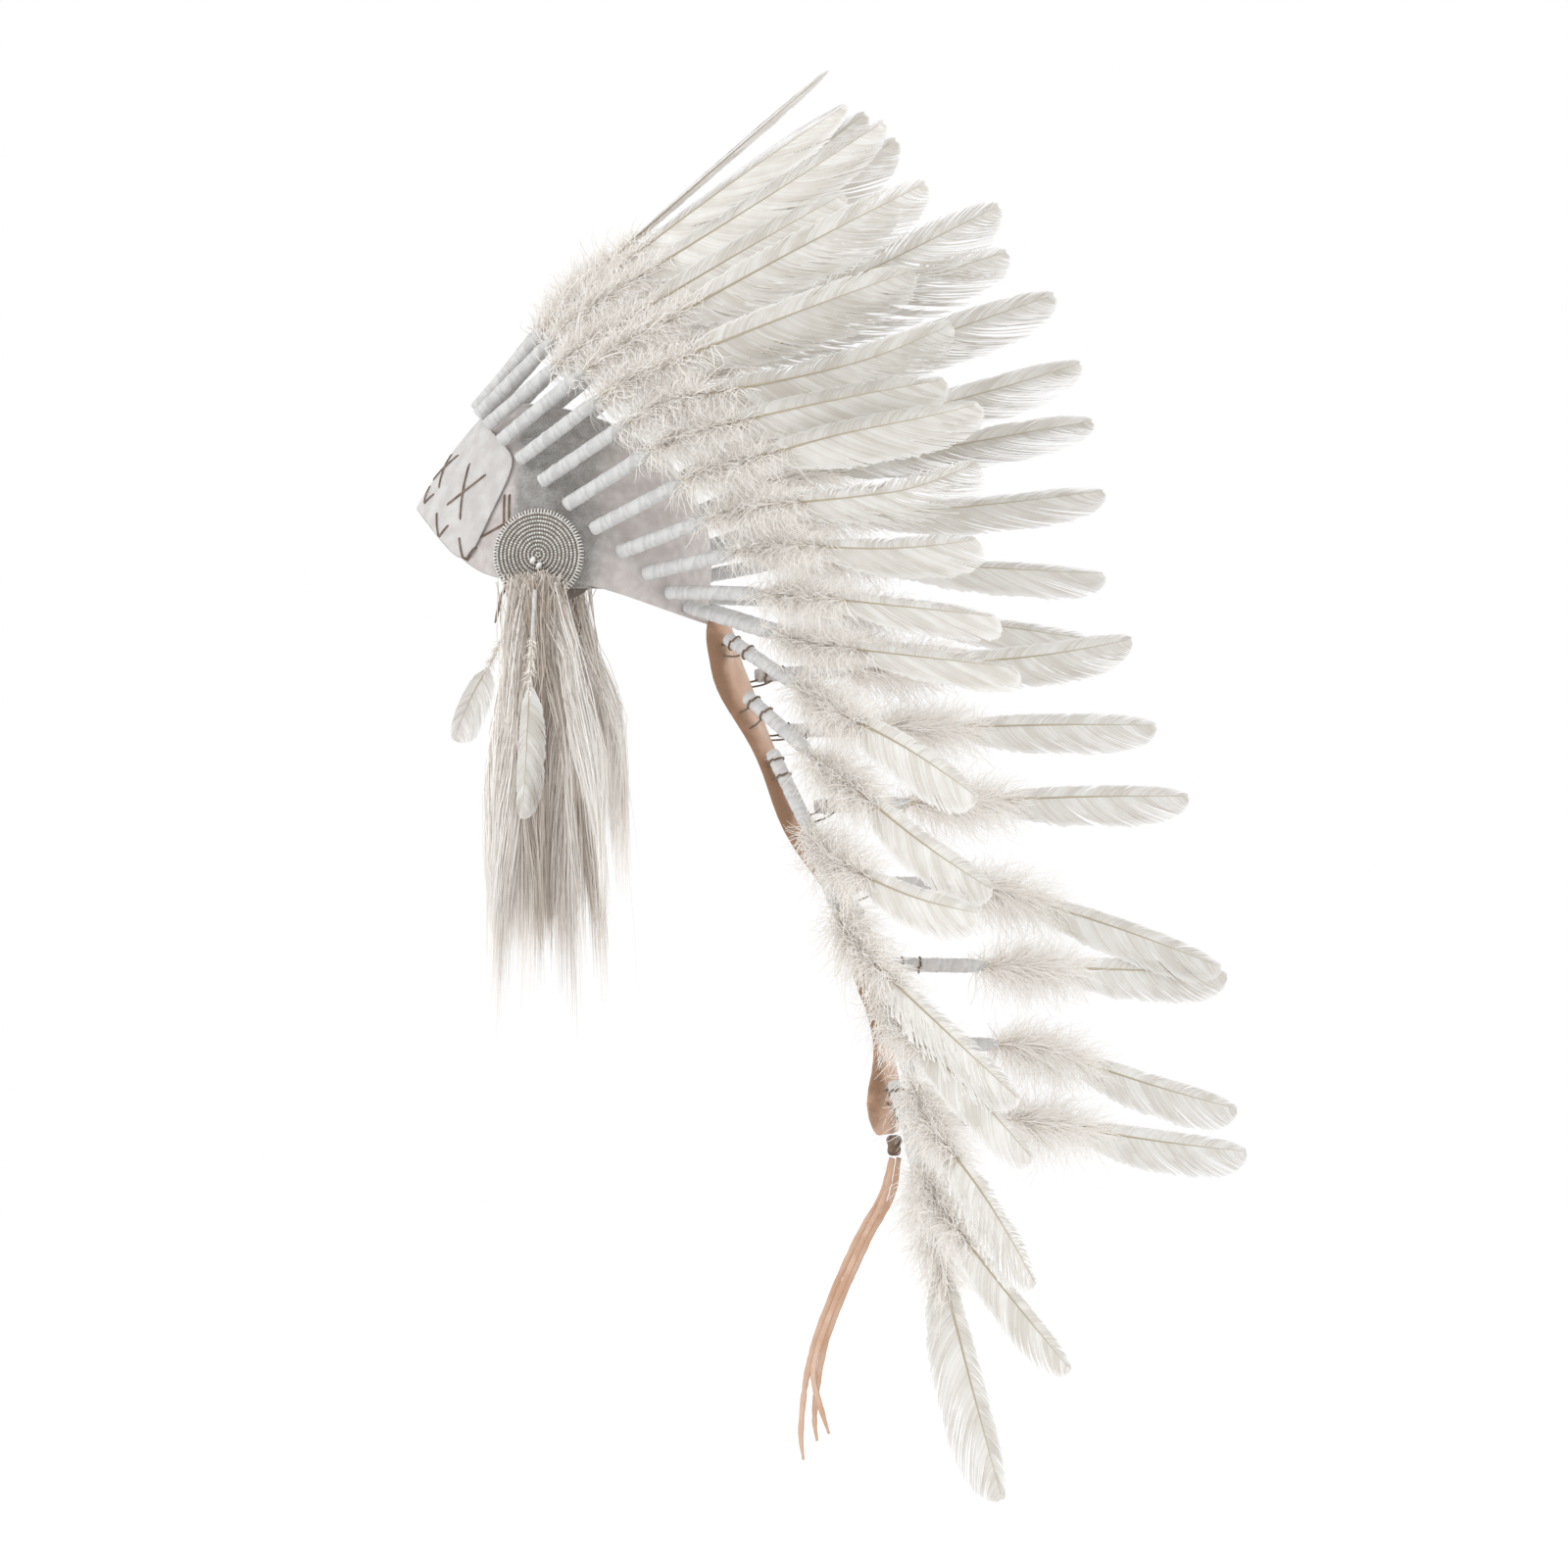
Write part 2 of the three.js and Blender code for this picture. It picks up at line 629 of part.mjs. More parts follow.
for (const { name, side, place, turn } of TEMPLES) {
  const temple = new THREE.Group();
  temple.position.set(...place);
  temple.rotation.z = rad(turn);
  headdress.add(temple);
  add(`rosette_${name}`, rosetteGeometry(side), "beadwork", temple);
  BEADS.forEach((bead, k) => add(`rosette_bead_${name}_${k + 1}`, beadGeometry(bead, side), "bead", temple));
  add(`rosette_thong_${name}`, thongGeometry(THONG_ROUTE[name], side), "thong", temple);
  add(`fur_drop_${name}`, furDropGeometry(side), "fur", temple);
  add(`drop_feather_${name}`, dropFeather(DROP_FEATHERS[name], side), "feather", temple);
}

add("tie_knot", knotGeometry(), "thong");
TIE_ROUTES.forEach((route, k) => add(`tie_strip_${k + 1}`, tieGeometry(route), "suede"));

export default headdress;
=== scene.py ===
# %% [markdown]
# # A white feathered headdress
# The solid model of this headdress already exists: a leather cap with a brow band, twenty-five
# wrapped feathers round it, a suede trailer with fifteen more, and beaded temple rosettes with
# fur drops. Here each plain solid is dressed with what it really is. Everything is in metres.
# +Z is up, -X is where the wearer looks and -Y is the wearer's left.

# %% Load the solid model
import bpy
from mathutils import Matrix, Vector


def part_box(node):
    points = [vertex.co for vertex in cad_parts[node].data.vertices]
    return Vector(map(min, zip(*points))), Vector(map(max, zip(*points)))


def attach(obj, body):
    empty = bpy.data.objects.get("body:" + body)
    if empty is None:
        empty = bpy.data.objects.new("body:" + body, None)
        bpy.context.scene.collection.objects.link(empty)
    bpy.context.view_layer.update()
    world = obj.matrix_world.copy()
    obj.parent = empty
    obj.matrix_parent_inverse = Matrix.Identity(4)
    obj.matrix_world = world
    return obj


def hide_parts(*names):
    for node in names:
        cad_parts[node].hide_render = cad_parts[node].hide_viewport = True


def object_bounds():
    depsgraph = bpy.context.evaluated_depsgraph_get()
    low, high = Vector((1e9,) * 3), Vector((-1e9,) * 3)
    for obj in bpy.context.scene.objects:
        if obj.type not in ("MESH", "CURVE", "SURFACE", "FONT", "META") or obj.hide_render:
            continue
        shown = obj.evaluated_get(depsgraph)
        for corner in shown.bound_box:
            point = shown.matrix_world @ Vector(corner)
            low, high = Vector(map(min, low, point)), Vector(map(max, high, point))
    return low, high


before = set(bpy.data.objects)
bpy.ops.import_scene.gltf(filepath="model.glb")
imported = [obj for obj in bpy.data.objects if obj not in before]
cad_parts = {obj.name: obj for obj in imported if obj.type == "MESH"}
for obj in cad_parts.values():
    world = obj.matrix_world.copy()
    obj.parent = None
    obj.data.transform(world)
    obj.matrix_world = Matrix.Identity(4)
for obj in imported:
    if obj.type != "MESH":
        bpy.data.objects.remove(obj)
solid_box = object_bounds()
print("solid model:", [tuple(round(v, 3) for v in corner) for corner in solid_box])

# %% Tools used below
import math

import bmesh
import bpy
import numpy as np
from mathutils import Matrix, Vector
from mathutils.bvhtree import BVHTree

MM = 0.001
UP = np.array([0.0, 0.0, 1.0])
BODY = "root"


def unit(vector):
    return vector / np.linalg.norm(vector)


# %% [markdown]
# ## Camera, light and floor
# The camera stands on the wearer's left, turned ten degrees towards the back of the head, and
# level with the trailer. A long lens keeps the feathers' lengths true. The light is soft and
# comes from all round, as in a white room, with one large lamp in front to shape the down.

# %% Camera
CAMERA = {"turn": math.radians(10), "distance": 4.0, "aside": 0.1224, "height": -0.2614}


def make_camera():
    sideways = Vector((math.cos(CAMERA["turn"]), math.sin(CAMERA["turn"]), 0))
    back = Vector((math.sin(CAMERA["turn"]), -math.cos(CAMERA["turn"]), 0))
    camera = bpy.data.objects.new("camera", bpy.data.cameras.new("camera"))
    bpy.context.collection.objects.link(camera)
    camera.data.lens = 125
    camera.data.sensor_width = 36
    camera.location = CAMERA["aside"] * sideways + CAMERA["distance"] * back
    camera.location.z += CAMERA["height"]
    camera.rotation_euler = (-back).to_track_quat("-Z", "Y").to_euler()
    bpy.context.scene.camera = camera
    print("camera at", tuple(round(v, 3) for v in camera.location))


make_camera()

# %% Floor and light
FLOOR_DROP = 0.03


def lamp(name, place, aim, size, power):
    light = bpy.data.objects.new(name, bpy.data.lights.new(name, "AREA"))
    bpy.context.collection.objects.link(light)
    light.data.size = size
    light.data.energy = power
    light.location = place
    light.rotation_euler = (Vector(aim) - Vector(place)).to_track_quat("-Z", "Y").to_euler()


def make_studio():
    bm = bmesh.new()
    bmesh.ops.create_circle(bm, cap_ends=True, segments=96, radius=3.0)
    bmesh.ops.translate(bm, vec=(0.1, 0, solid_box[0].z - FLOOR_DROP), verts=bm.verts)
    mesh = bpy.data.meshes.new("floor")
    bm.to_mesh(mesh)
    bm.free()
    floor = bpy.data.objects.new("floor", mesh)
    bpy.context.collection.objects.link(floor)
    white = bpy.data.materials.new("white_floor")
    white.use_nodes = True
    white.node_tree.nodes["Principled BSDF"].inputs["Base Color"].default_value = (.97, .97, .97, 1)
    white.node_tree.nodes["Principled BSDF"].inputs["Roughness"].default_value = 1.0
    mesh.materials.append(white)
    world = bpy.data.worlds.new("white_room")
    world.use_nodes = True
    world.node_tree.nodes["Background"].inputs["Color"].default_value = (1, 1, 1, 1)
    world.node_tree.nodes["Background"].inputs["Strength"].default_value = 1.0
    bpy.context.scene.world = world
    bpy.context.scene.view_settings.view_transform = "Standard"
    lamp("key_lamp", (-2.2, -2.2, 1.6), (0.1, 0, -0.2), 1.6, 26)
    lamp("back_lamp", (1.8, 1.9, 1.5), (0.1, 0, -0.2), 1.4, 12)
    return floor


floor = make_studio()

# %% [markdown]
# ## Formulas for materials
# A material in Blender is a graph of nodes, and long graphs are hard to read. Here a wire, which
# is one output of a node, can be added and multiplied like a number, and each sum makes its own
# Math node. Everything that isn't plain arithmetic goes through one method called node.

# %% A wire that can be calculated with
class Wire:
    def __init__(self, tree, socket=None):
        self.tree = tree
        self.socket = socket

    def node(self, kind, settings=None, inputs=None, output=0):
        made = self.tree.nodes.new(kind)
        for name, value in (settings or {}).items():
            if name == "stops":
                ramp = made.color_ramp
                while len(ramp.elements) < len(value):
                    ramp.elements.new(0.5)
                for stop, (place, colour) in zip(ramp.elements, value):
                    stop.position = place
                    stop.color = (*colour, 1)
            else:
                setattr(made, name, value)
        for name, value in (inputs or {}).items():
            if isinstance(value, Wire):
                self.tree.links.new(value.socket, made.inputs[name])
            else:
                made.inputs[name].default_value = value
        return Wire(self.tree, made.outputs[output])

    def maths(self, operation, a, b=0.0):
        return self.node("ShaderNodeMath", {"operation": operation}, {0: a, 1: b})

    def __add__(self, other):
        return self.maths("ADD", self, other)

    __radd__ = __add__

    def __sub__(self, other):
        return self.maths("SUBTRACT", self, other)

    def __rsub__(self, other):
        return self.maths("SUBTRACT", other, self)

    def __mul__(self, other):
        return self.maths("MULTIPLY", self, other)

    __rmul__ = __mul__

    def clamp(self):
        return self.node("ShaderNodeClamp", None, {0: self})

    def between(self, low, high):
        """0 below low, 1 above high and smooth in between."""
        return self.node("ShaderNodeMapRange", {"interpolation_type": "SMOOTHSTEP"},
                         {0: self, 1: low, 2: high, 3: 0.0, 4: 1.0})

    def blend(self, low, high):
        """One colour where this is 0 and another where it is 1."""
        return self.node("ShaderNodeMix", {"data_type": "RGBA"}, {0: self, 6: low, 7: high}, 2)


def new_material(name, roughness, **constants):
    material = bpy.data.materials.new(name)
    material.use_nodes = True
    shader = material.node_tree.nodes["Principled BSDF"]
    shader.inputs["Roughness"].default_value = roughness
    for socket, value in constants.items():
        shader.inputs[socket.replace("_", " ")].default_value = value
    return material, shader, Wire(material.node_tree)


def connect(shader, **wires):
    for socket, value in wires.items():
        target = shader.inputs[socket.replace("_", " ")]
        if isinstance(value, Wire):
            value.tree.links.new(value.socket, target)
        else:
            target.default_value = value


def rgb(red, green, blue):
    return (red, green, blue, 1.0)


def place_of(wire):
    return wire.node("ShaderNodeTexCoord", output=3)


def grain(wire, scale, detail=2.0, roughness=0.5):
    return wire.node("ShaderNodeTexNoise", None,
                     {0: place_of(wire), "Scale": scale, "Detail": detail, "Roughness": roughness})


def mark(wire, name):
    return wire.node("ShaderNodeAttribute", {"attribute_name": name}, output=2)


def relief(wire, height, distance, strength=1.0):
    return wire.node("ShaderNodeBump", None,
                     {"Height": height, "Distance": distance, "Strength": strength})


# %% [markdown]
# ## Strands and tubes from one tool
# Barbs, down, fur, quills and thongs are all made in the same way: a row of short edges, or a
# ring of them, is extruded again and again, and each new copy is moved to its next place. The
# places are worked out first as an array with one row for each step, so a thousand strands grow
# together and none of them needs a list of faces.

# %% Growing strands and tubes
def sweep(bm, rows, joined, finish=0, marks=None):
    """Extrudes loose edges along rows. rows[i][k] is where point k is after i steps, joined says
    which points share an edge, and marks are values kept on the points under a name."""
    which = bm.verts.layers.int.get("which") or bm.verts.layers.int.new("which")
    layers = {}
    for name, values in (marks or {}).items():
        layer = bm.verts.layers.float.get(name) or bm.verts.layers.float.new(name)
        layers[name] = (layer, np.broadcast_to(values, rows.shape[:2]))
    which = bm.verts.layers.int["which"]
    layers = {name: (bm.verts.layers.float[name], values) for name, (_, values) in layers.items()}

    def settle(points, step):
        for point in points:
            k = point[which]
            point.co = rows[step][k]
            for layer, values in layers.values():
                point[layer] = values[step][k]

    points = [bm.verts.new(p) for p in rows[0]]
    for k, point in enumerate(points):
        point[which] = k
    settle(points, 0)
    edges = [bm.edges.new((points[a], points[b])) for a, b in joined]
    first = edges
    for step in range(1, len(rows)):
        made = bmesh.ops.extrude_edge_only(bm, edges=edges)["geom"]
        fresh = {p for p in made if isinstance(p, bmesh.types.BMVert)}
        settle(fresh, step)
        edges = [e for e in made if isinstance(e, bmesh.types.BMEdge) and set(e.verts) <= fresh]
        for edge in edges:
            for face in edge.link_faces:
                face.material_index = finish
                face.smooth = True
    return first, edges


def tube(bm, line, radii, sides, finish=0, flat=1.0, marks=None, wide=None, closed=True):
    """A round or flat tube along a line of points; radii is one number or one for each point
    (and each side). wide is the direction that a flat tube keeps broad."""
    line = np.asarray(line)
    go = np.gradient(line, axis=0)
    go /= np.linalg.norm(go, axis=1)[:, None]
    first = np.cross(go[0], UP if wide is None else np.cross(wide, go[0]))
    if np.linalg.norm(first) < 1e-6:
        first = np.array([0.0, 1.0, 0.0])
    a = unit(first)
    rings = []
    turns = np.arange(sides) * 2 * np.pi / sides
    radii = np.broadcast_to(np.asarray(radii, float).reshape(len(np.atleast_1d(radii)), -1),
                            (len(line), sides))
    for place, along, reach in zip(line, go, radii):
        a = unit(a - along * np.dot(a, along))
        b = np.cross(along, a)
        rings.append(place + reach[:, None] * (np.outer(np.cos(turns), a)
                                               + flat * np.outer(np.sin(turns), b)))
    pairs = [(k, (k + 1) % sides) for k in range(sides)]
    start, end = sweep(bm, np.array(rings), pairs, finish, marks)
    if closed:
        for loop in (start, end):
            for face in bmesh.ops.contextual_create(bm, geom=loop)["faces"]:
                face.material_index = finish
    return start, end


def strands(bm, rows, width, across, finish, marks):
    """Flat hairs. rows[i][k] is the middle of hair k after i steps; across is their broad way."""
    half = 0.5 * width[..., None] * across
    both = np.stack([rows - half, rows + half], axis=2).reshape(len(rows), -1, 3)
    pairs = [(2 * k, 2 * k + 1) for k in range(rows.shape[1])]
    doubled = {name: np.repeat(np.broadcast_to(values, rows.shape[:2]), 2, axis=1)
               for name, values in marks.items()}
    sweep(bm, both, pairs, finish, doubled)


def finish_piece(name, bm, finishes, slot, *nodes, outwards=False):
    """Turns a bmesh into a piece that rides with the headdress and stands for its solids."""
    if outwards:
        bmesh.ops.remove_doubles(bm, verts=bm.verts, dist=1e-6)
        bmesh.ops.recalc_face_normals(bm, faces=bm.faces)
    mesh = bpy.data.meshes.new(name)
    bm.to_mesh(mesh)
    bm.free()
    piece = bpy.data.objects.new(name, mesh)
    bpy.context.collection.objects.link(piece)
    for finish in finishes:
        mesh.materials.append(finish)
    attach(piece, BODY)
    if nodes:
        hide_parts(*nodes)
    return piece


def smooth_line(points, count):
    """A Catmull-Rom line through points, sampled evenly by length."""
    points = np.asarray(points, float)
    padded = np.vstack([2 * points[0] - points[1], points, 2 * points[-1] - points[-2]])
    dense = []
    for p, q, r, s in zip(padded, padded[1:], padded[2:], padded[3:]):
        t = np.linspace(0, 1, 24, endpoint=False)[:, None]
        dense.append(0.5 * (2 * q + (r - p) * t + (2 * p - 5 * q + 4 * r - s) * t ** 2
                            + (3 * q - p - 3 * r + s) * t ** 3))
    dense = np.vstack([*dense, points[-1:]])
    lengths = np.concatenate([[0], np.cumsum(np.linalg.norm(np.diff(dense, axis=0), axis=1))])
    shares = np.linspace(0, lengths[-1], count)
    return np.stack([np.interp(shares, lengths, dense[:, i]) for i in range(3)], axis=1)


def count(pieces):
    return sum(len(p.data.polygons) for p in pieces)


# %% [markdown]
# ## Leather finishes
# Three kinds of leather are used. The cap is white buckskin, smooth on the band and brushed up
# to a nap over the temples. The trailer and its ties are undyed tan suede, darker where they were
# cut. The thongs that tie things on are smoked brown.

# %% Leather, suede and thong
def suede_finish():
    material, shader, wire = new_material("tan_suede", 0.92, Sheen_Weight=0.3)
    edge, cloud, fine = mark(wire, "edge"), grain(wire, 45.0, 3.0), grain(wire, 900.0, 2.0)
    colour = cloud.between(0.3, 0.75).blend(rgb(0.60, 0.37, 0.25), rgb(0.75, 0.54, 0.41))
    colour = (edge + 0.9 * cloud - 0.45).between(0.6, 0.95).blend(colour, rgb(0.30, 0.17, 0.10))
    connect(shader, Base_Color=colour, Normal=relief(wire, fine + 2.0 * cloud, 0.0006))
    return material


def thong_finish():
    material, shader, wire = new_material("brown_thong", 0.85, Sheen_Weight=0.15)
    cloud, fine = grain(wire, 120.0), grain(wire, 1500.0)
    colour = cloud.between(0.3, 0.7).blend(rgb(0.11, 0.07, 0.045), rgb(0.24, 0.17, 0.12))
    connect(shader, Base_Color=colour, Normal=relief(wire, fine, 0.0002))
    return material


SUEDE, BROWN = suede_finish(), thong_finish()

# %% [markdown]
# ## Ties and thongs
# Three suede ties hang from the knot at the trailer's end, and a thong through each rosette has
# two hanging ends. They are free cords, so each is one strip swept along its own line, and its
# real length is measured from that line.

# %% Hanging ties and thong ends
TIE_WIDTH, TIE_THICK = 4.4 * MM, 1.6 * MM
TIES = {  # the middle line of each tie from the knot down, in millimetres
    "tie_strip_1": [(205, -7, -533), (198, -9, -560), (183, -14, -587), (166, -20, -625),
                    (152, -25, -664), (145, -28, -696), (142, -30, -731), (144, -31, -751)],
    "tie_strip_2": [(210, -5, -533), (205, -7, -561), (190, -12, -590), (173, -17, -628),
                    (159, -21, -666), (153, -23, -697), (151, -24, -722), (153, -25, -738)],
    "tie_strip_3": [(207, -14, -533), (201, -17, -561), (187, -22, -590), (170, -28, -629),
                    (156, -33, -667), (152, -35, -690), (158, -37, -713), (164, -38, -731)],
}
TEMPLES = {  # where each rosette sits, in millimetres, and its turn about the vertical
    "left": {"place": (-39, -89.6, -96.5), "turn": 0, "side": -1},
    "right": {"place": (-64, 86.4, -91), "turn": 10, "side": 1},
}
THONG_WIDTH, THONG_OUT = 3.8 * MM, 5.4
THONG_ENDS = {  # x and z of the two ends from the rosette's middle, in millimetres
    "left": {"front": [(0, -13), (-10, -16), (-24, -25), (-31, -49)],
             "back": [(0, -13), (8, -21), (13, -40), (19, -61)]},
    "right": {"front": [(0, -13), (-11, -16), (-25, -24), (-34, -40)],
              "back": [(0, -13), (8, -21), (12, -38), (17, -58)]},
}


def from_temple(name, points):
    """Points given from a rosette's middle, in millimetres, as places in the headdress."""
    temple = TEMPLES[name]
    turn = Matrix.Rotation(math.radians(temple["turn"]), 3, "Z")
    place = Vector(temple["place"])
    return np.array([(turn @ Vector(p) + place) * MM for p in points])


def length_of(line):
    return float(np.linalg.norm(np.diff(line, axis=0), axis=1).sum())


def hang_strip(name, line, width, thick, finish, slot, exit_point, nodes, **facts):
    rng = np.random.default_rng(len(name) * 7 + int(abs(line[-1][2]) * 1e4) % 97)
    count_ = len(line)
    grow = np.interp(np.linspace(0, 1, count_), [0, 0.06, 0.9, 1], [0.8, 1, 1, 0.45])
    grow = grow * (1 + 0.06 * rng.normal(0, 1, count_))
    radii = np.outer(0.5 * width * grow, np.ones(10))
    edge = np.abs(np.cos(np.arange(10) * 2 * np.pi / 10))[None]
    bm = bmesh.new()
    tube(bm, line, radii, 10, flat=thick / width, marks={"edge": 0.25 + 0.75 * edge ** 4},
         wide=np.array([1.0, 0.0, 0.25]))
    piece = finish_piece(name, bm, [finish], slot, *nodes, outwards=True)
    print(name, "is", round(1000 * length_of(line)), "mm long")
    return piece


for name, points in TIES.items():
    line = smooth_line(np.array(points) * MM, 61)
    hang_strip(name.replace("strip", "thong"), line, TIE_WIDTH, TIE_THICK, SUEDE, "suede",
               tuple(line[0]), [name], far_end="bare")

for name, ends in THONG_ENDS.items():
    for end, points in ends.items():
        side = TEMPLES[name]["side"]
        spots = [(x, side * (THONG_OUT + 0.3 * k), z) for k, (x, z) in enumerate(points)]
        line = smooth_line(from_temple(name, spots), 41)
        hang_strip(f"thong_{name}_{end}", line, THONG_WIDTH, 2 * MM, BROWN, "thong",
                   tuple(line[0]), [f"rosette_thong_{name}"], far_end="bare")

# %% [markdown]
# ## Finishes
# White is never one colour. The vanes are a warm off-white with faint streaks along the barbs,
# the down is darker beige at its heart, which is painted shade inside the tuft, and white at its
# tips, and it glows faintly in its own colour as painted light. The shafts run from straw to olive
# brown, and the quills are bound in cool white tape. Each strand carries two marks made with its
# mesh: reach, from 0 at the root to 1 at the tip, and tone, a number of its own; on the bound
# quills tone follows each turn of the tape and paints shade at the foot of each step.

# %% Feather finishes
def vane_finish():
    material, shader, wire = new_material("vane", 0.62, Sheen_Weight=0.15)
    tone, reach = mark(wire, "tone"), mark(wire, "reach")
    patches = grain(wire, 60.0)
    shade = (0.55 * tone + 0.45 * patches).between(0.2, 0.8)
    colour = shade.blend(rgb(0.64, 0.605, 0.55), rgb(0.83, 0.815, 0.785))
    edge = reach.between(0.75, 1.0)
    colour = edge.blend(colour, rgb(0.84, 0.825, 0.80))
    connect(shader, Base_Color=colour)
    return material


def down_finish():
    # The down glows faintly in its own colour: painted light, standing in for light passing through the
    # hairs.
    material, shader, wire = new_material("down", 0.85, Sheen_Weight=0.2, Emission_Strength=0.05)
    tone, reach = mark(wire, "tone"), mark(wire, "reach")
    # Darker beige towards the roots of the hairs is painted shade inside the tuft; the tips are white.
    heart = rgb(0.73, 0.665, 0.59)
    outer = tone.blend(rgb(0.85, 0.815, 0.77), rgb(0.94, 0.92, 0.895))
    colour = (reach + 0.35 * tone).between(0.02, 0.55).blend(heart, outer)
    connect(shader, Base_Color=colour, Emission_Color=colour)
    return material


def shaft_finish():
    material, shader, wire = new_material("shaft", 0.4)
    reach = mark(wire, "reach")
    colour = reach.between(0.0, 0.35).blend(rgb(0.66, 0.57, 0.40), rgb(0.45, 0.39, 0.28))
    colour = reach.between(0.55, 1.0).blend(colour, rgb(0.55, 0.50, 0.41))
    connect(shader, Base_Color=colour)
    return material


def tape_finish():
    material, shader, wire = new_material("quill_tape", 0.7)
    tone = mark(wire, "tone")
    soil = grain(wire, 220.0, 3.0)
    # tone on the quill is painted shade along each turn of the tape; soil adds random soiling.
    colour = (0.6 * tone + 0.4 * soil).between(0.15, 0.85).blend(
        rgb(0.47, 0.465, 0.455), rgb(0.70, 0.70, 0.695))
    connect(shader, Base_Color=colour,
            Normal=relief(wire, grain(wire, 260.0, 3.0), 0.0009))
    return material


VANE, DOWN, SHAFT, TAPE = vane_finish(), down_finish(), shaft_finish(), tape_finish()
print("feather finishes:", [m.name for m in (VANE, DOWN, SHAFT, TAPE)])

# %% [markdown]
# ## Reading a feather's solid
# Each plain feather is a skin over eleven rings of eight points: three for the quill, three for
# the down, five for the vane. The ring at the quill's end is found first, as the flat
# eight-sided face nearest the cap. Its neighbours are the next ring, and so on to the tip. From
# the rings come the line of the shaft, the way that the vane spreads and how wide it is.

# %% Find the rings of a feather
def read_rings(node, towards_root):
    bm = bmesh.new()
    bm.from_mesh(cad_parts[node].data)
    bmesh.ops.remove_doubles(bm, verts=bm.verts, dist=2e-5)
    flat = bm.copy()
    bmesh.ops.dissolve_limit(flat, angle_limit=math.radians(0.4), verts=flat.verts,
                             edges=flat.edges)
    ends = [f for f in flat.faces if len(f.verts) == 8]
    end = max(ends, key=lambda f: f.calc_center_median().dot(Vector(towards_root)))
    corners = [v.co.copy() for v in end.verts]
    flat.free()
    ring = {min(bm.verts, key=lambda v: (v.co - c).length) for c in corners}
    known = set(ring)
    rings = []
    while ring:
        rings.append(np.array([v.co for v in ring]))
        ring = {e.other_vert(v) for v in ring for e in v.link_edges} - known
        known |= ring
    bm.free()
    return rings


def widest(ring):
    """The half vector between the two points of a ring that are farthest apart."""
    apart = ring[:, None] - ring[None]
    a, b = np.unravel_index(np.argmax((apart ** 2).sum(-1)), apart.shape[:2])
    return 0.5 * (ring[a] - ring[b])


STATIONS = 241


def read_feather(node, towards_root=(-1, 0, 0), outward_from=(-0.03, 0, -0.1)):
    rings = read_rings(node, towards_root)
    centres = np.array([ring.mean(axis=0) for ring in rings])
    line = smooth_line(np.vstack([centres[:6], centres[-1:]]), STATIONS)
    length = np.linalg.norm(np.diff(line, axis=0), axis=1).sum()
    straight = unit(centres[-1] - centres[5])
    broad = widest(rings[8])
    middle = centres[8] - centres[5]
    aside = middle - straight * np.dot(middle, straight)
    if np.dot(aside, broad) < 0:
        broad = -broad
    across = unit(broad - straight * np.dot(broad, straight))
    shares, lead, trail = [0.42], [0.0], [0.0]
    for ring in rings[6:]:
        off = ring - centres[5]
        shares.append(0.42 + 0.58 * np.mean(off @ straight) / np.linalg.norm(centres[-1] - centres[5])
                      if False else np.mean(off @ straight))
        lead.append(-(off @ across).min())
        trail.append((off @ across).max())
    tail = np.linalg.norm(centres[-1] - centres[5])
    start = 1 - tail / length
    at = [start] + [start + (1 - start) * s / tail for s in shares[1:]]
    up = np.cross(straight, across)
    if np.dot(up, line[-1] - np.array(outward_from)) < 0:
        up = -up
    return {"line": line, "length": length, "go": straight, "across": across, "up": up,
            "at": np.array(at), "lead": np.array(lead), "trail": np.array(trail),
            "quill": np.linalg.norm(widest(rings[1])), "down": np.linalg.norm(widest(rings[4]))}

# %% [markdown]
# ## Dressing a feather
# A real feather here is a goose quill bound in tape, a collar of down tied over the binding, and
# then the long vane. The vane is not a sheet but two rows of barbs that leave the shaft at a
# slant and cling together, and it splits where they let go. So the vane is grown barb by barb:
# the barbs touch along most of their length, a few gaps open, and the tips come out ragged.

# %% Settings for the feathers
BARBS = 150
ROUND_FROM = 0.86  # the share of its length where a vane starts to round off to its tip
BARB_STEPS = 5
DOWN_HAIRS = 1400
DOWN_STEPS = 4
TAPE_PITCH = 6.5 * MM
QUILL_SIDES = 12
# What single feathers do that the others don't: how many splits, how ragged the barbs are and
# how far the tip curls out of its plane.
HABITS = {
    "crown_feather_03": {"splits": 7, "ragged": 0.30, "curl": 0.05},
    "crown_feather_04": {"splits": 3, "ragged": 0.08, "curl": 0.02},
    "crown_feather_06": {"splits": 4, "ragged": 0.12, "curl": 0.05},
    "crown_feather_08": {"splits": 4, "ragged": 0.14, "curl": 0.0},
    "crown_feather_16": {"splits": 5, "ragged": 0.22, "curl": 0.05},
    "crown_feather_17": {"splits": 4, "ragged": 0.18, "curl": 0.03},
    "trail_feather_left_4": {"splits": 6, "ragged": 0.30, "curl": 0.0},
    "trail_feather_left_6": {"splits": 6, "ragged": 0.35, "curl": 0.0},
}
USUAL = {"splits": 3, "ragged": 0.07, "curl": 0.0}


def along(feather, share):
    """Points of the feather's middle line at shares of its length."""
    grid = np.linspace(0, 1, STATIONS)
    return np.stack([np.interp(share, grid, feather["line"][:, i]) for i in range(3)], axis=-1)


def vane_width(feather, share, side):
    """Width of one side of the vane, rounded where the solid has corners."""
    edge = feather["lead"] if side < 0 else feather["trail"]
    grid = np.linspace(0, 1, STATIONS)
    width = np.interp(grid, feather["at"], edge, left=0)
    kernel = np.hanning(17)
    width = np.convolve(np.pad(width, 8, mode="edge"), kernel / kernel.sum(), mode="valid")
    beyond = np.clip((np.asarray(share) - ROUND_FROM) / (1 - ROUND_FROM), 0, 1)
    return np.interp(np.minimum(share, ROUND_FROM), grid, width) * np.sqrt(1 - beyond ** 2)


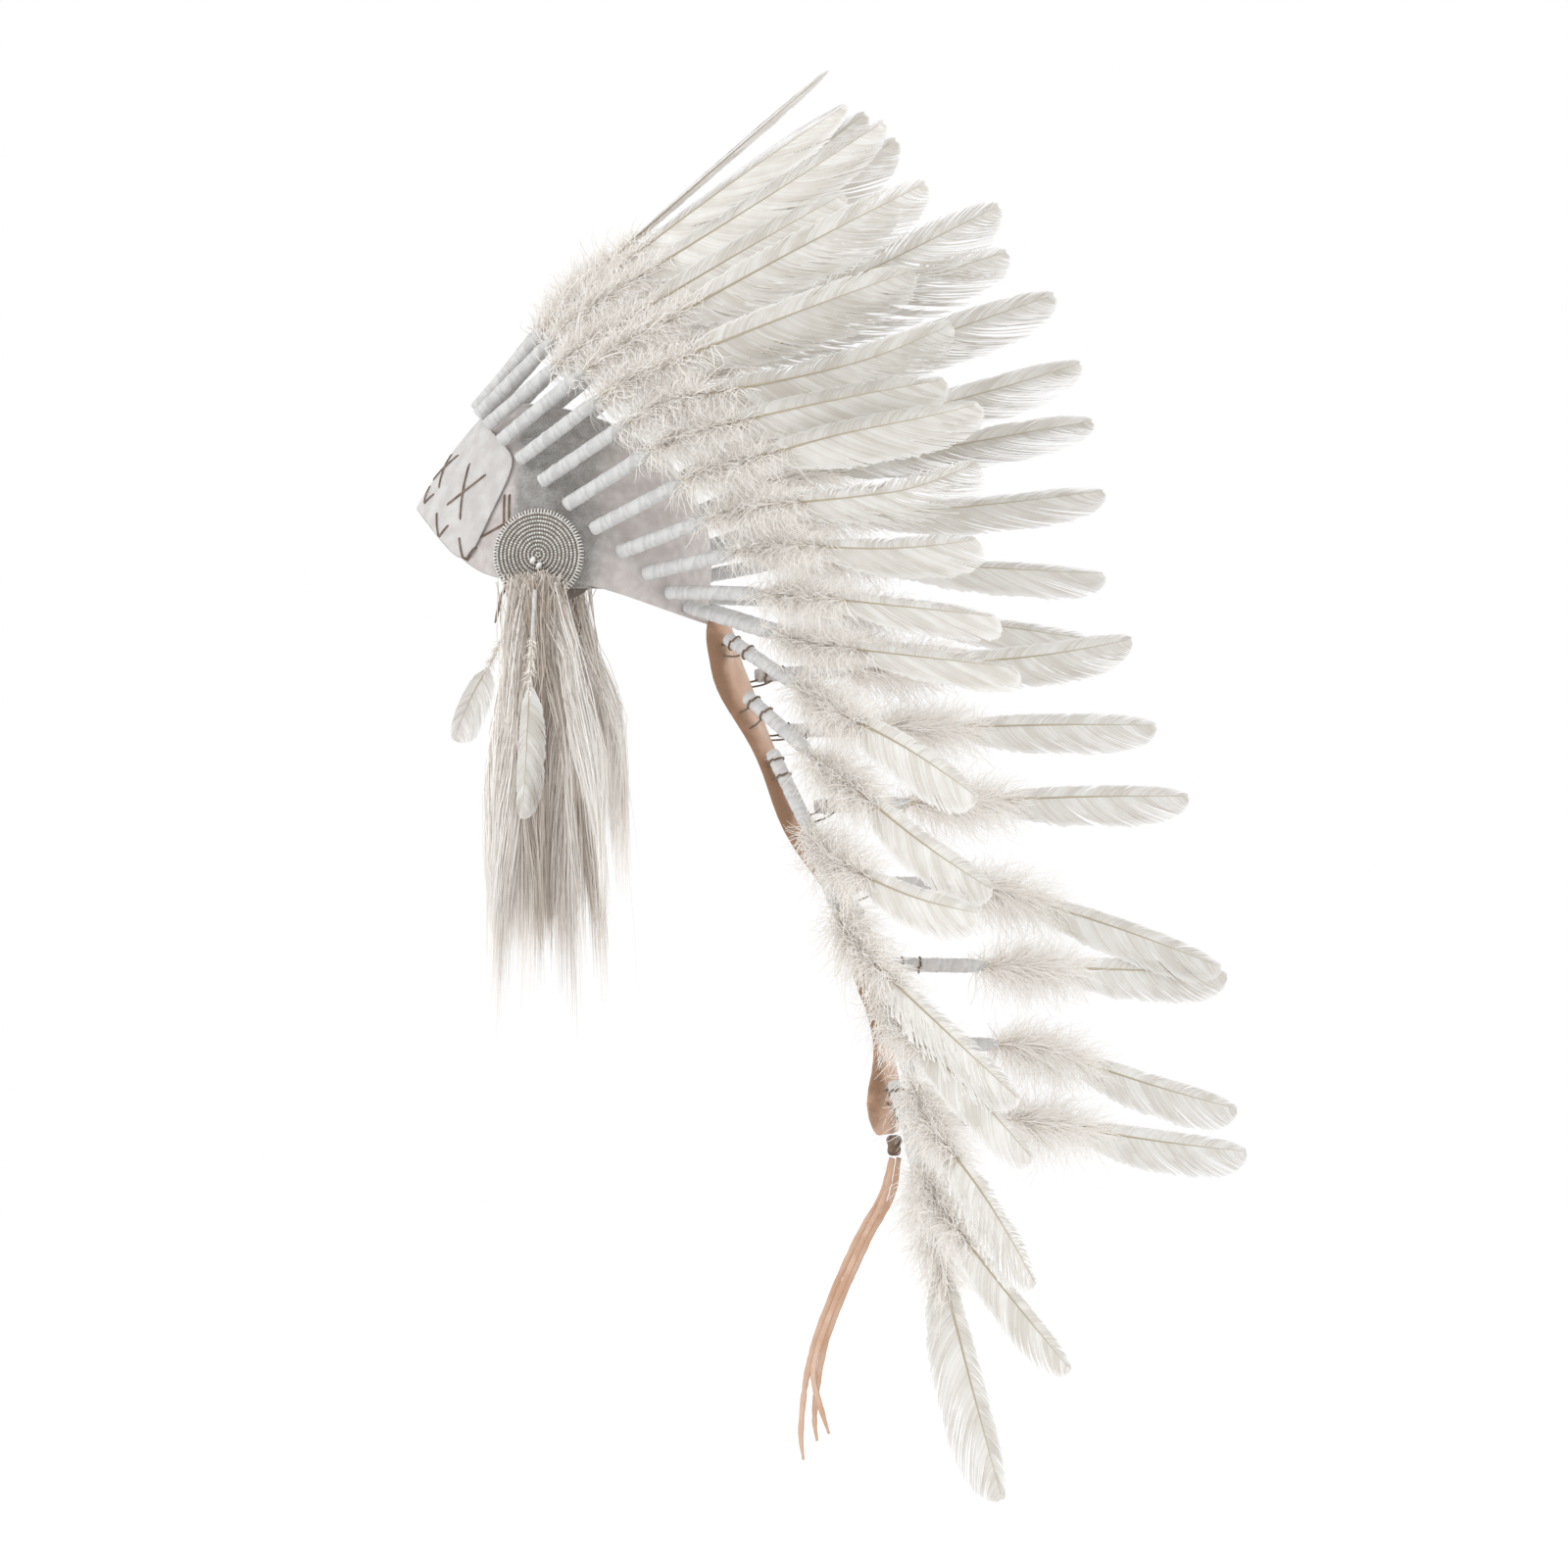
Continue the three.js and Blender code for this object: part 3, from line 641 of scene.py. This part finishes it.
# %% Vane
def grow_vane(bm, feather, habit, rng):
    start = feather["at"][0]
    for side in (-1, 1):
        roots = start + 0.01 + (0.985 - start) * (np.arange(BARBS) + 0.5) / BARBS
        splits = rng.uniform(start + 0.1, 0.97, habit["splits"])
        lean = np.zeros(BARBS)
        for split in splits:
            away = (roots - split) / 0.012
            lean += rng.uniform(0.3, 1.0) * np.sign(away) * np.exp(-np.abs(away) / 4)
        width = vane_width(feather, roots, side)
        slant = np.interp(roots, [start, 0.6, 1.0], [0.9, 1.5, 2.1])
        run = slant * width / feather["length"]
        tips = np.minimum(roots + run + 0.006 * lean, 1 - 0.25 * (1 - roots))
        reach = vane_width(feather, tips, side)
        reach *= 1 + habit["ragged"] * rng.normal(0, 0.5, BARBS).clip(-1.6, 0.8)
        notch = rng.uniform(start + 0.15, 0.95, 2)
        for place in notch:
            reach *= 1 - rng.uniform(0.05, 0.2) * np.exp(-((roots - place) / 0.008) ** 2)
        droop = 0.10 + 0.05 * rng.normal(0, 1, BARBS).cumsum() / math.sqrt(BARBS)
        tone = (rng.normal(0.5, 0.16, BARBS) + 0.5 * np.convolve(
            rng.normal(0, 1, BARBS + 8), np.ones(9) / 9, mode="valid")).clip(0, 1)
        spacing = feather["length"] * (0.985 - start) / BARBS
        rows, wides, marks = [], [], []
        for step in range(BARB_STEPS + 1):
            u = step / BARB_STEPS
            share = roots + (tips - roots) * (0.55 * u + 0.45 * u * u)
            out = side * reach * (1.25 * u - 0.25 * u * u)
            bend = -droop * reach * u * u
            rows.append(along(feather, share) + out[:, None] * feather["across"]
                        + bend[:, None] * feather["up"])
            apart = np.abs(np.gradient(share)) * feather["length"]
            wides.append(1.5 * np.clip(apart, 0.7 * spacing, 1.5 * spacing))
            marks.append(np.full(BARBS, u))
        tilt = unit(feather["go"] + 0.16 * feather["up"])
        strands(bm, np.array(rows), np.array(wides), tilt, 0,
                {"reach": np.array(marks), "tone": tone})


# %% Shaft and bound quill
def grow_shaft(bm, feather):
    shares = np.linspace(0.17, 0.985, 34)
    line = along(feather, shares)
    thick = feather["quill"] / 5.2 * MM if feather["quill"] < 3 * MM else MM
    radii = np.interp(shares, [0.17, 0.35, 0.6, 1], [1.75, 1.35, 0.8, 0.22]) * max(
        feather["quill"] / 5.2, 0.45 * MM)
    tube(bm, line, radii[:, None], 6, finish=2, marks={
        "reach": np.linspace(0, 1, len(line))[:, None], "tone": 0.5})
    return thick


def grow_quill(bm, feather, rng):
    """The bound quill: each turn of the tape overlaps the last, in one helical step."""
    shares = 0.222 * np.linspace(0, 1, 58) ** 1.25
    line = along(feather, shares)
    travelled = (shares * feather["length"])[:, None]
    turns = np.arange(QUILL_SIDES)[None] / QUILL_SIDES
    uneven = 0.35 * np.sin(travelled / (2.6 * TAPE_PITCH) * 2 * np.pi + rng.uniform(0, 6))
    phase = (travelled / TAPE_PITCH + turns + uneven) % 1
    radius = feather["quill"] * (0.99 + 0.045 * phase ** 3)
    radius *= 1 + 0.012 * rng.normal(0, 1, radius.shape)
    ends = np.clip(travelled / (1.1 * feather["quill"]), 0, 1)
    radius *= np.sqrt(np.clip(1 - (1 - ends) ** 2, 0.004, 1))
    radius *= np.interp(shares, [0, 0.19, 0.222], [1, 1, 0.62])[:, None]
    radius *= 1 + 0.025 * rng.normal(0, 1, (len(shares), 1))
    # The tape's tone rises along each turn: darker at the foot of each step, where the turn tucks under
    # the next, as painted shade under the overlap, and lighter at the raised lip.
    tube(bm, line, radius, QUILL_SIDES, finish=3, marks={
        "tone": 0.35 + 0.5 * phase, "reach": 0.0})


# %% Down
def grow_down(bm, feather, rng, hairs=DOWN_HAIRS):
    size = feather["down"] / 12.5
    share = rng.triangular(0.18, 0.28, 0.52, hairs)
    turn = rng.uniform(0, 2 * np.pi, hairs)
    side = np.cross(feather["go"], feather["up"])
    radial = np.outer(np.cos(turn), feather["up"]) + np.outer(np.sin(turn), side)
    lean = np.radians(rng.uniform(-26, 66, hairs))
    go = radial * np.cos(lean)[:, None] + np.outer(np.sin(lean), feather["go"])
    length = size * rng.uniform(14, 27, hairs) * np.interp(share, [0.19, 0.25, 0.38, 0.5],
                                                           [0.8, 1.0, 1.0, 0.7])
    length = np.where(rng.random(hairs) < 0.05, 1.35, 1.0) * length
    curl = rng.normal(0, 1, (hairs, 3))
    curl -= go * (curl * go).sum(1)[:, None]
    root = along(feather, share)
    rows, widths, reach = [], [], []
    for step in range(DOWN_STEPS + 1):
        u = step / DOWN_STEPS
        way = root + go * (length * u)[:, None]
        way = way + feather["go"] * (0.30 * length * u * u)[:, None]
        way = way - UP * (0.12 * length * u * u)[:, None]
        way = way + curl * (length * 0.22 * u * math.sin(2.6 * u + 0.4))[:, None]
        rows.append(way)
        widths.append(np.full(hairs, (1.0 - 0.75 * u) * MM))
        reach.append(np.full(hairs, u))
    flat = np.cross(go, rng.normal(0, 1, (hairs, 3)))
    flat /= np.linalg.norm(flat, axis=1)[:, None]
    strands(bm, np.array(rows), np.array(widths), flat, 1,
            {"reach": np.array(reach), "tone": rng.random(hairs)})


# %% One whole feather
FINISHES = [VANE, DOWN, SHAFT, TAPE]
QUILL_ROOTS = {}


def dress_feather(node, seed, towards_root=(-1, 0, 0), hairs=DOWN_HAIRS):
    rng = np.random.default_rng(seed)
    feather = read_feather(node, towards_root)
    habit = HABITS.get(node, USUAL)
    grid = np.linspace(0, 1, STATIONS)
    vane_part = np.clip((grid - 0.4) / 0.6, 0, 1)
    bow = rng.normal(0, 1) * 0.010 * feather["length"] * np.sin(np.pi * vane_part)
    curl = habit["curl"] * feather["length"] * np.clip((vane_part - 0.6) / 0.4, 0, 1) ** 2
    feather["line"] = (feather["line"] + np.outer(bow, feather["across"])
                       + np.outer(curl, feather["up"]))
    QUILL_ROOTS[node] = feather
    bm = bmesh.new()
    grow_vane(bm, feather, habit, rng)
    grow_shaft(bm, feather)
    grow_quill(bm, feather, rng)
    grow_down(bm, feather, rng, hairs)
    return finish_piece(node.replace("feather", "plume"), bm, FINISHES, "feather", node)


names = sorted(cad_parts)
round_cap = [n for n in names if n.startswith(("crown_feather", "trail_feather"))]
plumes = [dress_feather(node, seed) for seed, node in enumerate(round_cap, start=11)]
plumes += [dress_feather(node, seed, (0, 0, 1), 140) for seed, node in enumerate(
    ["drop_feather_left", "drop_feather_right"], start=91)]
print(len(plumes), "feathers with", count(plumes), "faces")

# %% [markdown]
# ## The cap and its brow band
# The cap is soft buckskin. Its solid already has the right form but shows flat facets, so a copy
# of it is merged into one skin, its triangles are joined to four-sided faces, and a subdivision
# surface rounds it. The band in front is a second layer of smoother leather, laced on with
# brown thong in large crosses.

# %% Cap leather
def cap_finish():
    material, shader, wire = new_material("buckskin", 0.8, Sheen_Weight=0.2)
    place = place_of(wire)
    x = place.node("ShaderNodeSeparateXYZ", None, {0: place})
    wander = grain(wire, 30.0) * 0.02
    nap = (x + wander).between(-0.055, -0.045) - (x + wander).between(-0.008, 0.03)
    fine, coarse = grain(wire, 700.0, 4.0, 0.6), grain(wire, 120.0, 3.0)
    smooth_colour = coarse.between(0.3, 0.7).blend(rgb(0.52, 0.47, 0.45), rgb(0.63, 0.59, 0.57))
    # The napped leather is greyer than the smooth leather. Its darkest end is also painted shade between
    # the quills that stand over it.
    nap_and_painted_shade_colour = (0.5 * fine + 0.5 * coarse).between(0.35, 0.65).blend(
        rgb(0.37, 0.35, 0.33), rgb(0.60, 0.585, 0.565))
    height = nap * fine * 3.0 + coarse
    connect(shader, Base_Color=nap.blend(smooth_colour, nap_and_painted_shade_colour),
            Normal=relief(wire, height, 0.0012))
    return material


def band_finish():
    material, shader, wire = new_material("band_leather", 0.6, Sheen_Weight=0.15)
    coarse, fine = grain(wire, 80.0, 3.0), grain(wire, 900.0)
    colour = coarse.between(0.3, 0.7).blend(rgb(0.52, 0.50, 0.485), rgb(0.63, 0.615, 0.60))
    connect(shader, Base_Color=colour, Normal=relief(wire, coarse + 0.15 * fine, 0.002))
    return material


BUCKSKIN, BAND_LEATHER = cap_finish(), band_finish()


def skin_of(node):
    """A merged copy of a solid's skin with four-sided faces where they fit."""
    bm = bmesh.new()
    bm.from_mesh(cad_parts[node].data)
    bmesh.ops.remove_doubles(bm, verts=bm.verts, dist=2e-5)
    bmesh.ops.join_triangles(bm, faces=bm.faces, angle_face_threshold=0.7,
                             angle_shape_threshold=0.7)
    for face in bm.faces:
        face.smooth = True
    return bm


def rounded(piece, levels):
    modifier = piece.modifiers.new("rounded", "SUBSURF")
    modifier.levels = modifier.render_levels = levels
    return piece


cap = rounded(finish_piece("cap_buckskin", skin_of("cap"), [BUCKSKIN], "leather", "cap"), 2)
band = rounded(finish_piece("band_laced", skin_of("brow_band"), [BAND_LEATHER], "leather",
                            "brow_band"), 2)

# %% [markdown]
# ## Lacing on the band
# Each cross is two thongs laid over the leather, with their ends tucked into slits. The places
# are given as an angle round the head from the middle of the brow and a height, and a ray cast
# towards the head's axis finds the leather there. So the lacing lies on whatever it meets.

# %% Crosses of thong
HEAD_AXIS = Vector((-38 * MM, 0, 0))
LACES = [  # angle in degrees and height in mm of both ends
    {"from": (15, -18), "to": (25, -46)}, {"from": (11, -39), "to": (27, -20)},
    {"from": (40, -26), "to": (45, -71)}, {"from": (34, -59), "to": (55, -36)},
    {"from": (67, -51), "to": (69, -77)}, {"from": (70, -51), "to": (72, -77)},
    {"from": (56, -83), "to": (82, -64)},
    {"from": (23, -49), "to": (18, -56)}, {"from": (13, -42), "to": (18, -56)},
    {"from": (30, -63), "to": (35, -82)}, {"from": (39, -73), "to": (35, -82)},
    {"from": (46, -82), "to": (50, -100)}, {"from": (55, -90), "to": (50, -100)},
]
LACE_WIDE, LACE_THICK = 1.5 * MM, 0.9 * MM


def leather_under(pieces):
    """The rounded leather of some pieces, ready to have rays cast at it."""
    ready = bpy.context.evaluated_depsgraph_get()
    return [BVHTree.FromObject(piece, ready) for piece in pieces]


def on_leather(trees, angle, height, lift):
    """The point of the leather at an angle from the brow, lifted off it, and which way is out."""
    turn = math.radians(angle)
    out = Vector((-math.cos(turn), -math.sin(turn), 0))
    start = HEAD_AXIS + Vector((0, 0, height * MM)) + 0.3 * out
    hits = [tree.ray_cast(start, -out) for tree in trees]
    place, normal = min(((h[0], h[1]) for h in hits if h[0] is not None),
                        key=lambda h: (h[0] - start).length)
    if normal.dot(out) < 0:
        normal = -normal
    return place + lift * normal, normal


def lay_laces():
    trees = leather_under([band, cap])
    bm = bmesh.new()
    for lace in LACES:
        for side in (1, -1):
            (a0, h0), (a1, h1) = lace["from"], lace["to"]
            line = []
            for share in np.linspace(0, 1, 13):
                sunk = -1.2 * MM if share in (0, 1) else LACE_THICK * 0.45
                arch = 0.5 * MM * math.sin(math.pi * share)
                spot, out = on_leather(trees, side * (a0 + (a1 - a0) * share),
                                       h0 + (h1 - h0) * share, sunk + arch)
                line.append(spot)
            line = smooth_line(line, 25)
            swell = 1 + 0.35 * np.abs(np.linspace(-1, 1, len(line))) ** 6
            tube(bm, line, 0.5 * LACE_WIDE * swell[:, None], 8, flat=LACE_THICK / LACE_WIDE, wide=np.array(
                np.cross(np.array(out), line[-1] - line[0])))
    return finish_piece("band_laces", bm, [BROWN], "thong", outwards=True)


laces = lay_laces()
print("laces:", len(LACES) * 2, "with", count([laces]), "faces")

# %% [markdown]
# ## The trailer
# The trailer is one strip of tan suede with turned edges that carries the lower feathers.

# %% Suede trailer
CURL = 5 * MM  # how far the trailer's cut edges roll in and out


def make_trailer():
    bm = skin_of("trailer")
    edge = bm.verts.layers.float.new("edge")
    bmesh.ops.subdivide_edges(bm, edges=bm.edges, cuts=1, use_grid_fill=True, smooth=0.6)
    low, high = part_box("trailer")
    for vert in bm.verts:
        vert[edge] = min(1.0, abs(vert.co.y) / (0.5 * (high.y - low.y)))
        fall = (high.z - vert.co.z) / (high.z - low.z)
        shore = 1 if vert.co.y < 0 else -1
        vert.co.x += CURL * vert[edge] ** 2 * math.sin(23 * fall + 1.5 * shore)
        vert.co.y += 0.8 * CURL * vert[edge] * math.sin(31 * fall * shore + 2)
    piece = finish_piece("trailer_suede", bm, [SUEDE], "suede", "trailer")
    return rounded(piece, 1)


trailer = make_trailer()

# %% [markdown]
# ## Loops that hold the trailer's quills
# Each quill on the trailer is tied by two loops of thong round its root, and each loop runs on
# to the nearest edge of the suede, where it is tucked in. Both are tubes along short lines.

# %% Loops round quill roots
LOOP_SHARES, LOOP_THICK = (0.03, 0.07), 0.8 * MM


def loop_round(bm, feather, share, thick):
    middle = along(feather, share)
    ahead = unit(along(feather, share + 0.01) - middle)
    a = unit(np.cross(ahead, UP + 0.3 * feather["up"]))
    b = np.cross(ahead, a)
    turns = np.linspace(0, 2 * np.pi, 21)[:, None]
    reach = feather["quill"] * 1.04 + 0.4 * thick
    ring = middle + reach * (np.cos(turns) * a + np.sin(turns) * b) + ahead * 1.2 * MM * turns / 6
    tube(bm, ring, [thick], 6)
    return middle


def tie_to(bm, tree, middle, thick):
    """A thong from a quill to the nearest suede, tucked in a little past its edge."""
    near = tree.find_nearest(Vector(middle))[0]
    inwards = Vector((0, -math.copysign(6 * MM, near.y), 0))
    tucked = tree.find_nearest(near + inwards)[0]
    sag = np.array([0, 0, -0.08]) * np.linalg.norm(np.array(near) - middle)
    line = [middle, 0.5 * (middle + np.array(near)) + sag, near, tucked]
    tube(bm, smooth_line(line, 13), [thick], 6)


def tie_quills():
    tree, bm = leather_under([trailer])[0], bmesh.new()
    for node in round_cap:
        if node.startswith("trail"):
            for share in LOOP_SHARES:
                middle = loop_round(bm, QUILL_ROOTS[node], share, LOOP_THICK)
                tie_to(bm, tree, middle, LOOP_THICK)
    return finish_piece("quill_loops", bm, [BROWN], "thong", outwards=True)


print("loops with", count([tie_quills()]), "faces")

# %% [markdown]
# ## Beaded rosettes
# Each rosette is a leather disc sewn with rings of small glass beads and bound at the rim. A bead
# is a small squashed ball, and one ring of them is laid out, moved and turned at a time.

# %% Rings of beads
RING_GAP, BEAD_SIZE, RIM_STITCHES = 2.85 * MM, 2.0 * MM, 84
ROSETTE_RADIUS, ROSETTE_THICK = 33 * MM, 4 * MM


def bead_finish():
    material, shader, wire = new_material("seed_beads", 0.22, Coat_Weight=0.4)
    connect(shader, Base_Color=mark(wire, "tone").blend(rgb(0.52, 0.50, 0.47),
                                                         rgb(0.84, 0.83, 0.81)))
    return material


def pearl_finish():
    material, shader, wire = new_material("white_bead", 0.3, Coat_Weight=0.5)
    connect(shader, Base_Color=grain(wire, 300.0).blend(rgb(0.82, 0.80, 0.77),
                                                        rgb(0.93, 0.92, 0.90)))
    return material


def smoked_finish():
    material, shader, wire = new_material("rosette_ground", 0.9)
    connect(shader, Base_Color=grain(wire, 200.0).blend(rgb(0.17, 0.14, 0.115),
                                                        rgb(0.27, 0.235, 0.20)))
    return material


BEADS, PEARL, SMOKED = bead_finish(), pearl_finish(), smoked_finish()


def balls(bm, middles, ways, radius, tone, sides=6):
    """Small beads, each with its hole along its own way, all grown together."""
    ups = np.broadcast_to(UP, ways.shape)
    outs = np.cross(ways, ups)
    turns = np.arange(sides) * 2 * np.pi / sides
    round_ = (np.cos(turns)[None, :, None] * outs[:, None]
              + np.sin(turns)[None, :, None] * ups[:, None])
    rows = []
    for height in np.radians([-76, -42, 0, 42, 76]):
        rows.append((middles + 0.86 * radius * math.sin(height) * ways)[:, None]
                    + radius * math.cos(height) * round_)
    pairs = [(sides * k + i, sides * k + (i + 1) % sides)
             for k in range(len(middles)) for i in range(sides)]
    sweep(bm, np.array(rows).reshape(5, -1, 3), pairs, 0, {"tone": np.repeat(tone, sides)})


def make_rosette(name):
    rng = np.random.default_rng(300 + len(name))
    temple = TEMPLES[name]
    bm = bmesh.new()
    disc = bmesh.ops.create_cone(bm, cap_ends=True, segments=64, radius1=ROSETTE_RADIUS,
                                 radius2=ROSETTE_RADIUS - 1 * MM, depth=0.6 * ROSETTE_THICK)
    bmesh.ops.translate(bm, vec=(0, 0, 0.3 * ROSETTE_THICK), verts=disc["verts"])
    for face in bm.faces:
        face.material_index = 1
    middles, ways = [], []
    for radius in np.arange(1.6 * MM, ROSETTE_RADIUS - 2.6 * MM, RING_GAP):
        beads = round(2 * math.pi * radius / (BEAD_SIZE * 0.92))
        turns = rng.uniform(0, 6) + 2 * np.pi * np.arange(beads) / beads
        turns += rng.normal(0, 0.1 / beads, beads)
        middles += [(radius * math.cos(t), radius * math.sin(t), 0.6 * ROSETTE_THICK + 0.55 * MM)
                    for t in turns]
        ways += [(-math.sin(t), math.cos(t), 0) for t in turns]
    balls(bm, np.array(middles), np.array(ways), 0.5 * BEAD_SIZE, rng.random(len(middles)))
    for k in range(RIM_STITCHES):
        turn = 2 * math.pi * k / RIM_STITCHES
        out = np.array([math.cos(turn), math.sin(turn), 0])
        arc = [(ROSETTE_RADIUS - 2.8 * MM) * out + UP * 0.6 * ROSETTE_THICK,
               (ROSETTE_RADIUS - 1.2 * MM) * out + UP * 0.9 * ROSETTE_THICK,
               (ROSETTE_RADIUS + 0.2 * MM) * out + UP * 0.35 * ROSETTE_THICK]
        tube(bm, smooth_line(arc, 6), [0.62 * MM], 5, marks={"tone": 0.55 + 0.4 * (k % 2)})
    stand = Matrix.Rotation(math.radians(-90 * temple["side"]), 4, "X")
    turn = Matrix.Rotation(math.radians(temple["turn"]), 4, "Z")
    bm.transform(Matrix.Translation(Vector(temple["place"]) * MM) @ turn @ stand)
    return finish_piece(f"rosette_beads_{name}", bm, [BEADS, SMOKED], "beadwork",
                        f"rosette_{name}")


rosettes = [make_rosette(name) for name in TEMPLES]
for node in [n for n in names if n.startswith("rosette_bead_")]:
    bm = skin_of(node)
    rounded(finish_piece(node.replace("bead", "pearl"), bm, [PEARL], "bead", node), 2)
print("rosettes with", count(rosettes), "faces")

# %% [markdown]
# ## Fur drops
# Under each rosette hangs a tuft of long hair. Where the hairs end is picked at random inside the
# solid, and each hair runs there from the knot behind the rosette, spreading as the solid does.
# Hairs of one lock bend alike, so neighbours share most of their wave.

# %% Long hair
FUR_HAIRS, FUR_STEPS = 5200, 7


def fur_finish():
    # The fur glows faintly in its own colour: painted light, not a lamp.
    material, shader, wire = new_material("long_fur", 0.7, Sheen_Weight=0.2, Emission_Strength=0.05)
    reach, tone = mark(wire, "reach"), mark(wire, "tone")
    heart = (0.8 * tone + 0.2 * reach).between(0.25, 0.85).blend(
        rgb(0.50, 0.435, 0.37), rgb(0.91, 0.885, 0.85))
    connect(shader, Base_Color=heart, Emission_Color=heart)
    return material


FUR = fur_finish()


def inside(tree, point):
    """Counts the walls on the way out: an odd number means that the point is inside."""
    walls, start = 0, Vector(point)
    while walls < 20:
        hit = tree.ray_cast(start, Vector((0, 0, 1)))[0]
        if hit is None:
            return walls % 2 == 1
        walls, start = walls + 1, hit + Vector((0, 0, 1e-6))
    return False


def make_fur(name):
    node, rng = f"fur_drop_{name}", np.random.default_rng(500 + len(name))
    low, high = (np.array(corner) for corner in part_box(node))
    bm = skin_of(node)
    tree = BVHTree.FromBMesh(bm)
    bm.free()
    tall = high[2] - low[2]
    head = from_temple(name, [(0, TEMPLES[name]["side"] * 12, -20)])[0]
    ends = []
    while len(ends) < FUR_HAIRS:
        point = low + (high - low) * rng.random(3) * (1, 1, 0.62)
        if inside(tree, point):
            ends.append(point)
    ends = np.array(ends)
    ends[:, 2] -= np.minimum(0.05 * tall * rng.random(FUR_HAIRS), ends[:, 2] - low[2])
    roots = head + rng.normal(0, 1, (FUR_HAIRS, 3)) * (7 * MM, 4 * MM, 3 * MM)
    aside = ends - roots
    wave = np.stack([np.sin(ends[:, 0] * 160 + 1.3), np.cos(ends[:, 0] * 130), 0 * ends[:, 0]], 1)
    stray = rng.normal(0, 1, (FUR_HAIRS, 3)) * (1, 1, 0)
    rows, widths, reach = [], [], []
    for step in range(FUR_STEPS + 1):
        u = step / FUR_STEPS
        spread = np.interp(u, [0, 0.1, 0.25, 0.5, 0.8, 1], [0, 0.17, 0.44, 0.78, 0.95, 1])
        way = roots + aside * np.array([spread, spread, u])
        way = way + (wave * 4.5 * MM + stray * 1.1 * MM) * math.sin(2.6 * math.pi * u)
        rows.append(way)
        widths.append(np.full(FUR_HAIRS, np.interp(u, [0, 0.7, 1], [0.8, 0.7, 0.12]) * MM))
        reach.append(np.full(FUR_HAIRS, u))
    flat = rng.normal(0, 1, (FUR_HAIRS, 3)) * (1, 1, 0)
    flat /= np.linalg.norm(flat, axis=1)[:, None]
    centre = 0.5 * (low + high)
    off = np.abs((ends - centre) / (0.5 * (high - low)))[:, 0]
    bm = bmesh.new()
    strands(bm, np.array(rows), np.array(widths), flat, 0, {
        "reach": np.array(reach), "tone": (0.85 * off + 0.35 * rng.random(FUR_HAIRS)).clip(0, 1)})
    for face in bm.faces:
        face.smooth = True
    return finish_piece(f"fur_{name}", bm, [FUR], "fur", node)


furs = [make_fur(name) for name in TEMPLES]
print("fur with", count(furs), "faces")

# %% [markdown]
# ## The knot
# The ties hang from one lump of knotted thong. Its solid is rounded as the cap was.

# %% Knot
knot = rounded(finish_piece("tie_lump", skin_of("tie_knot"), [BROWN], "thong", "tie_knot"), 2)
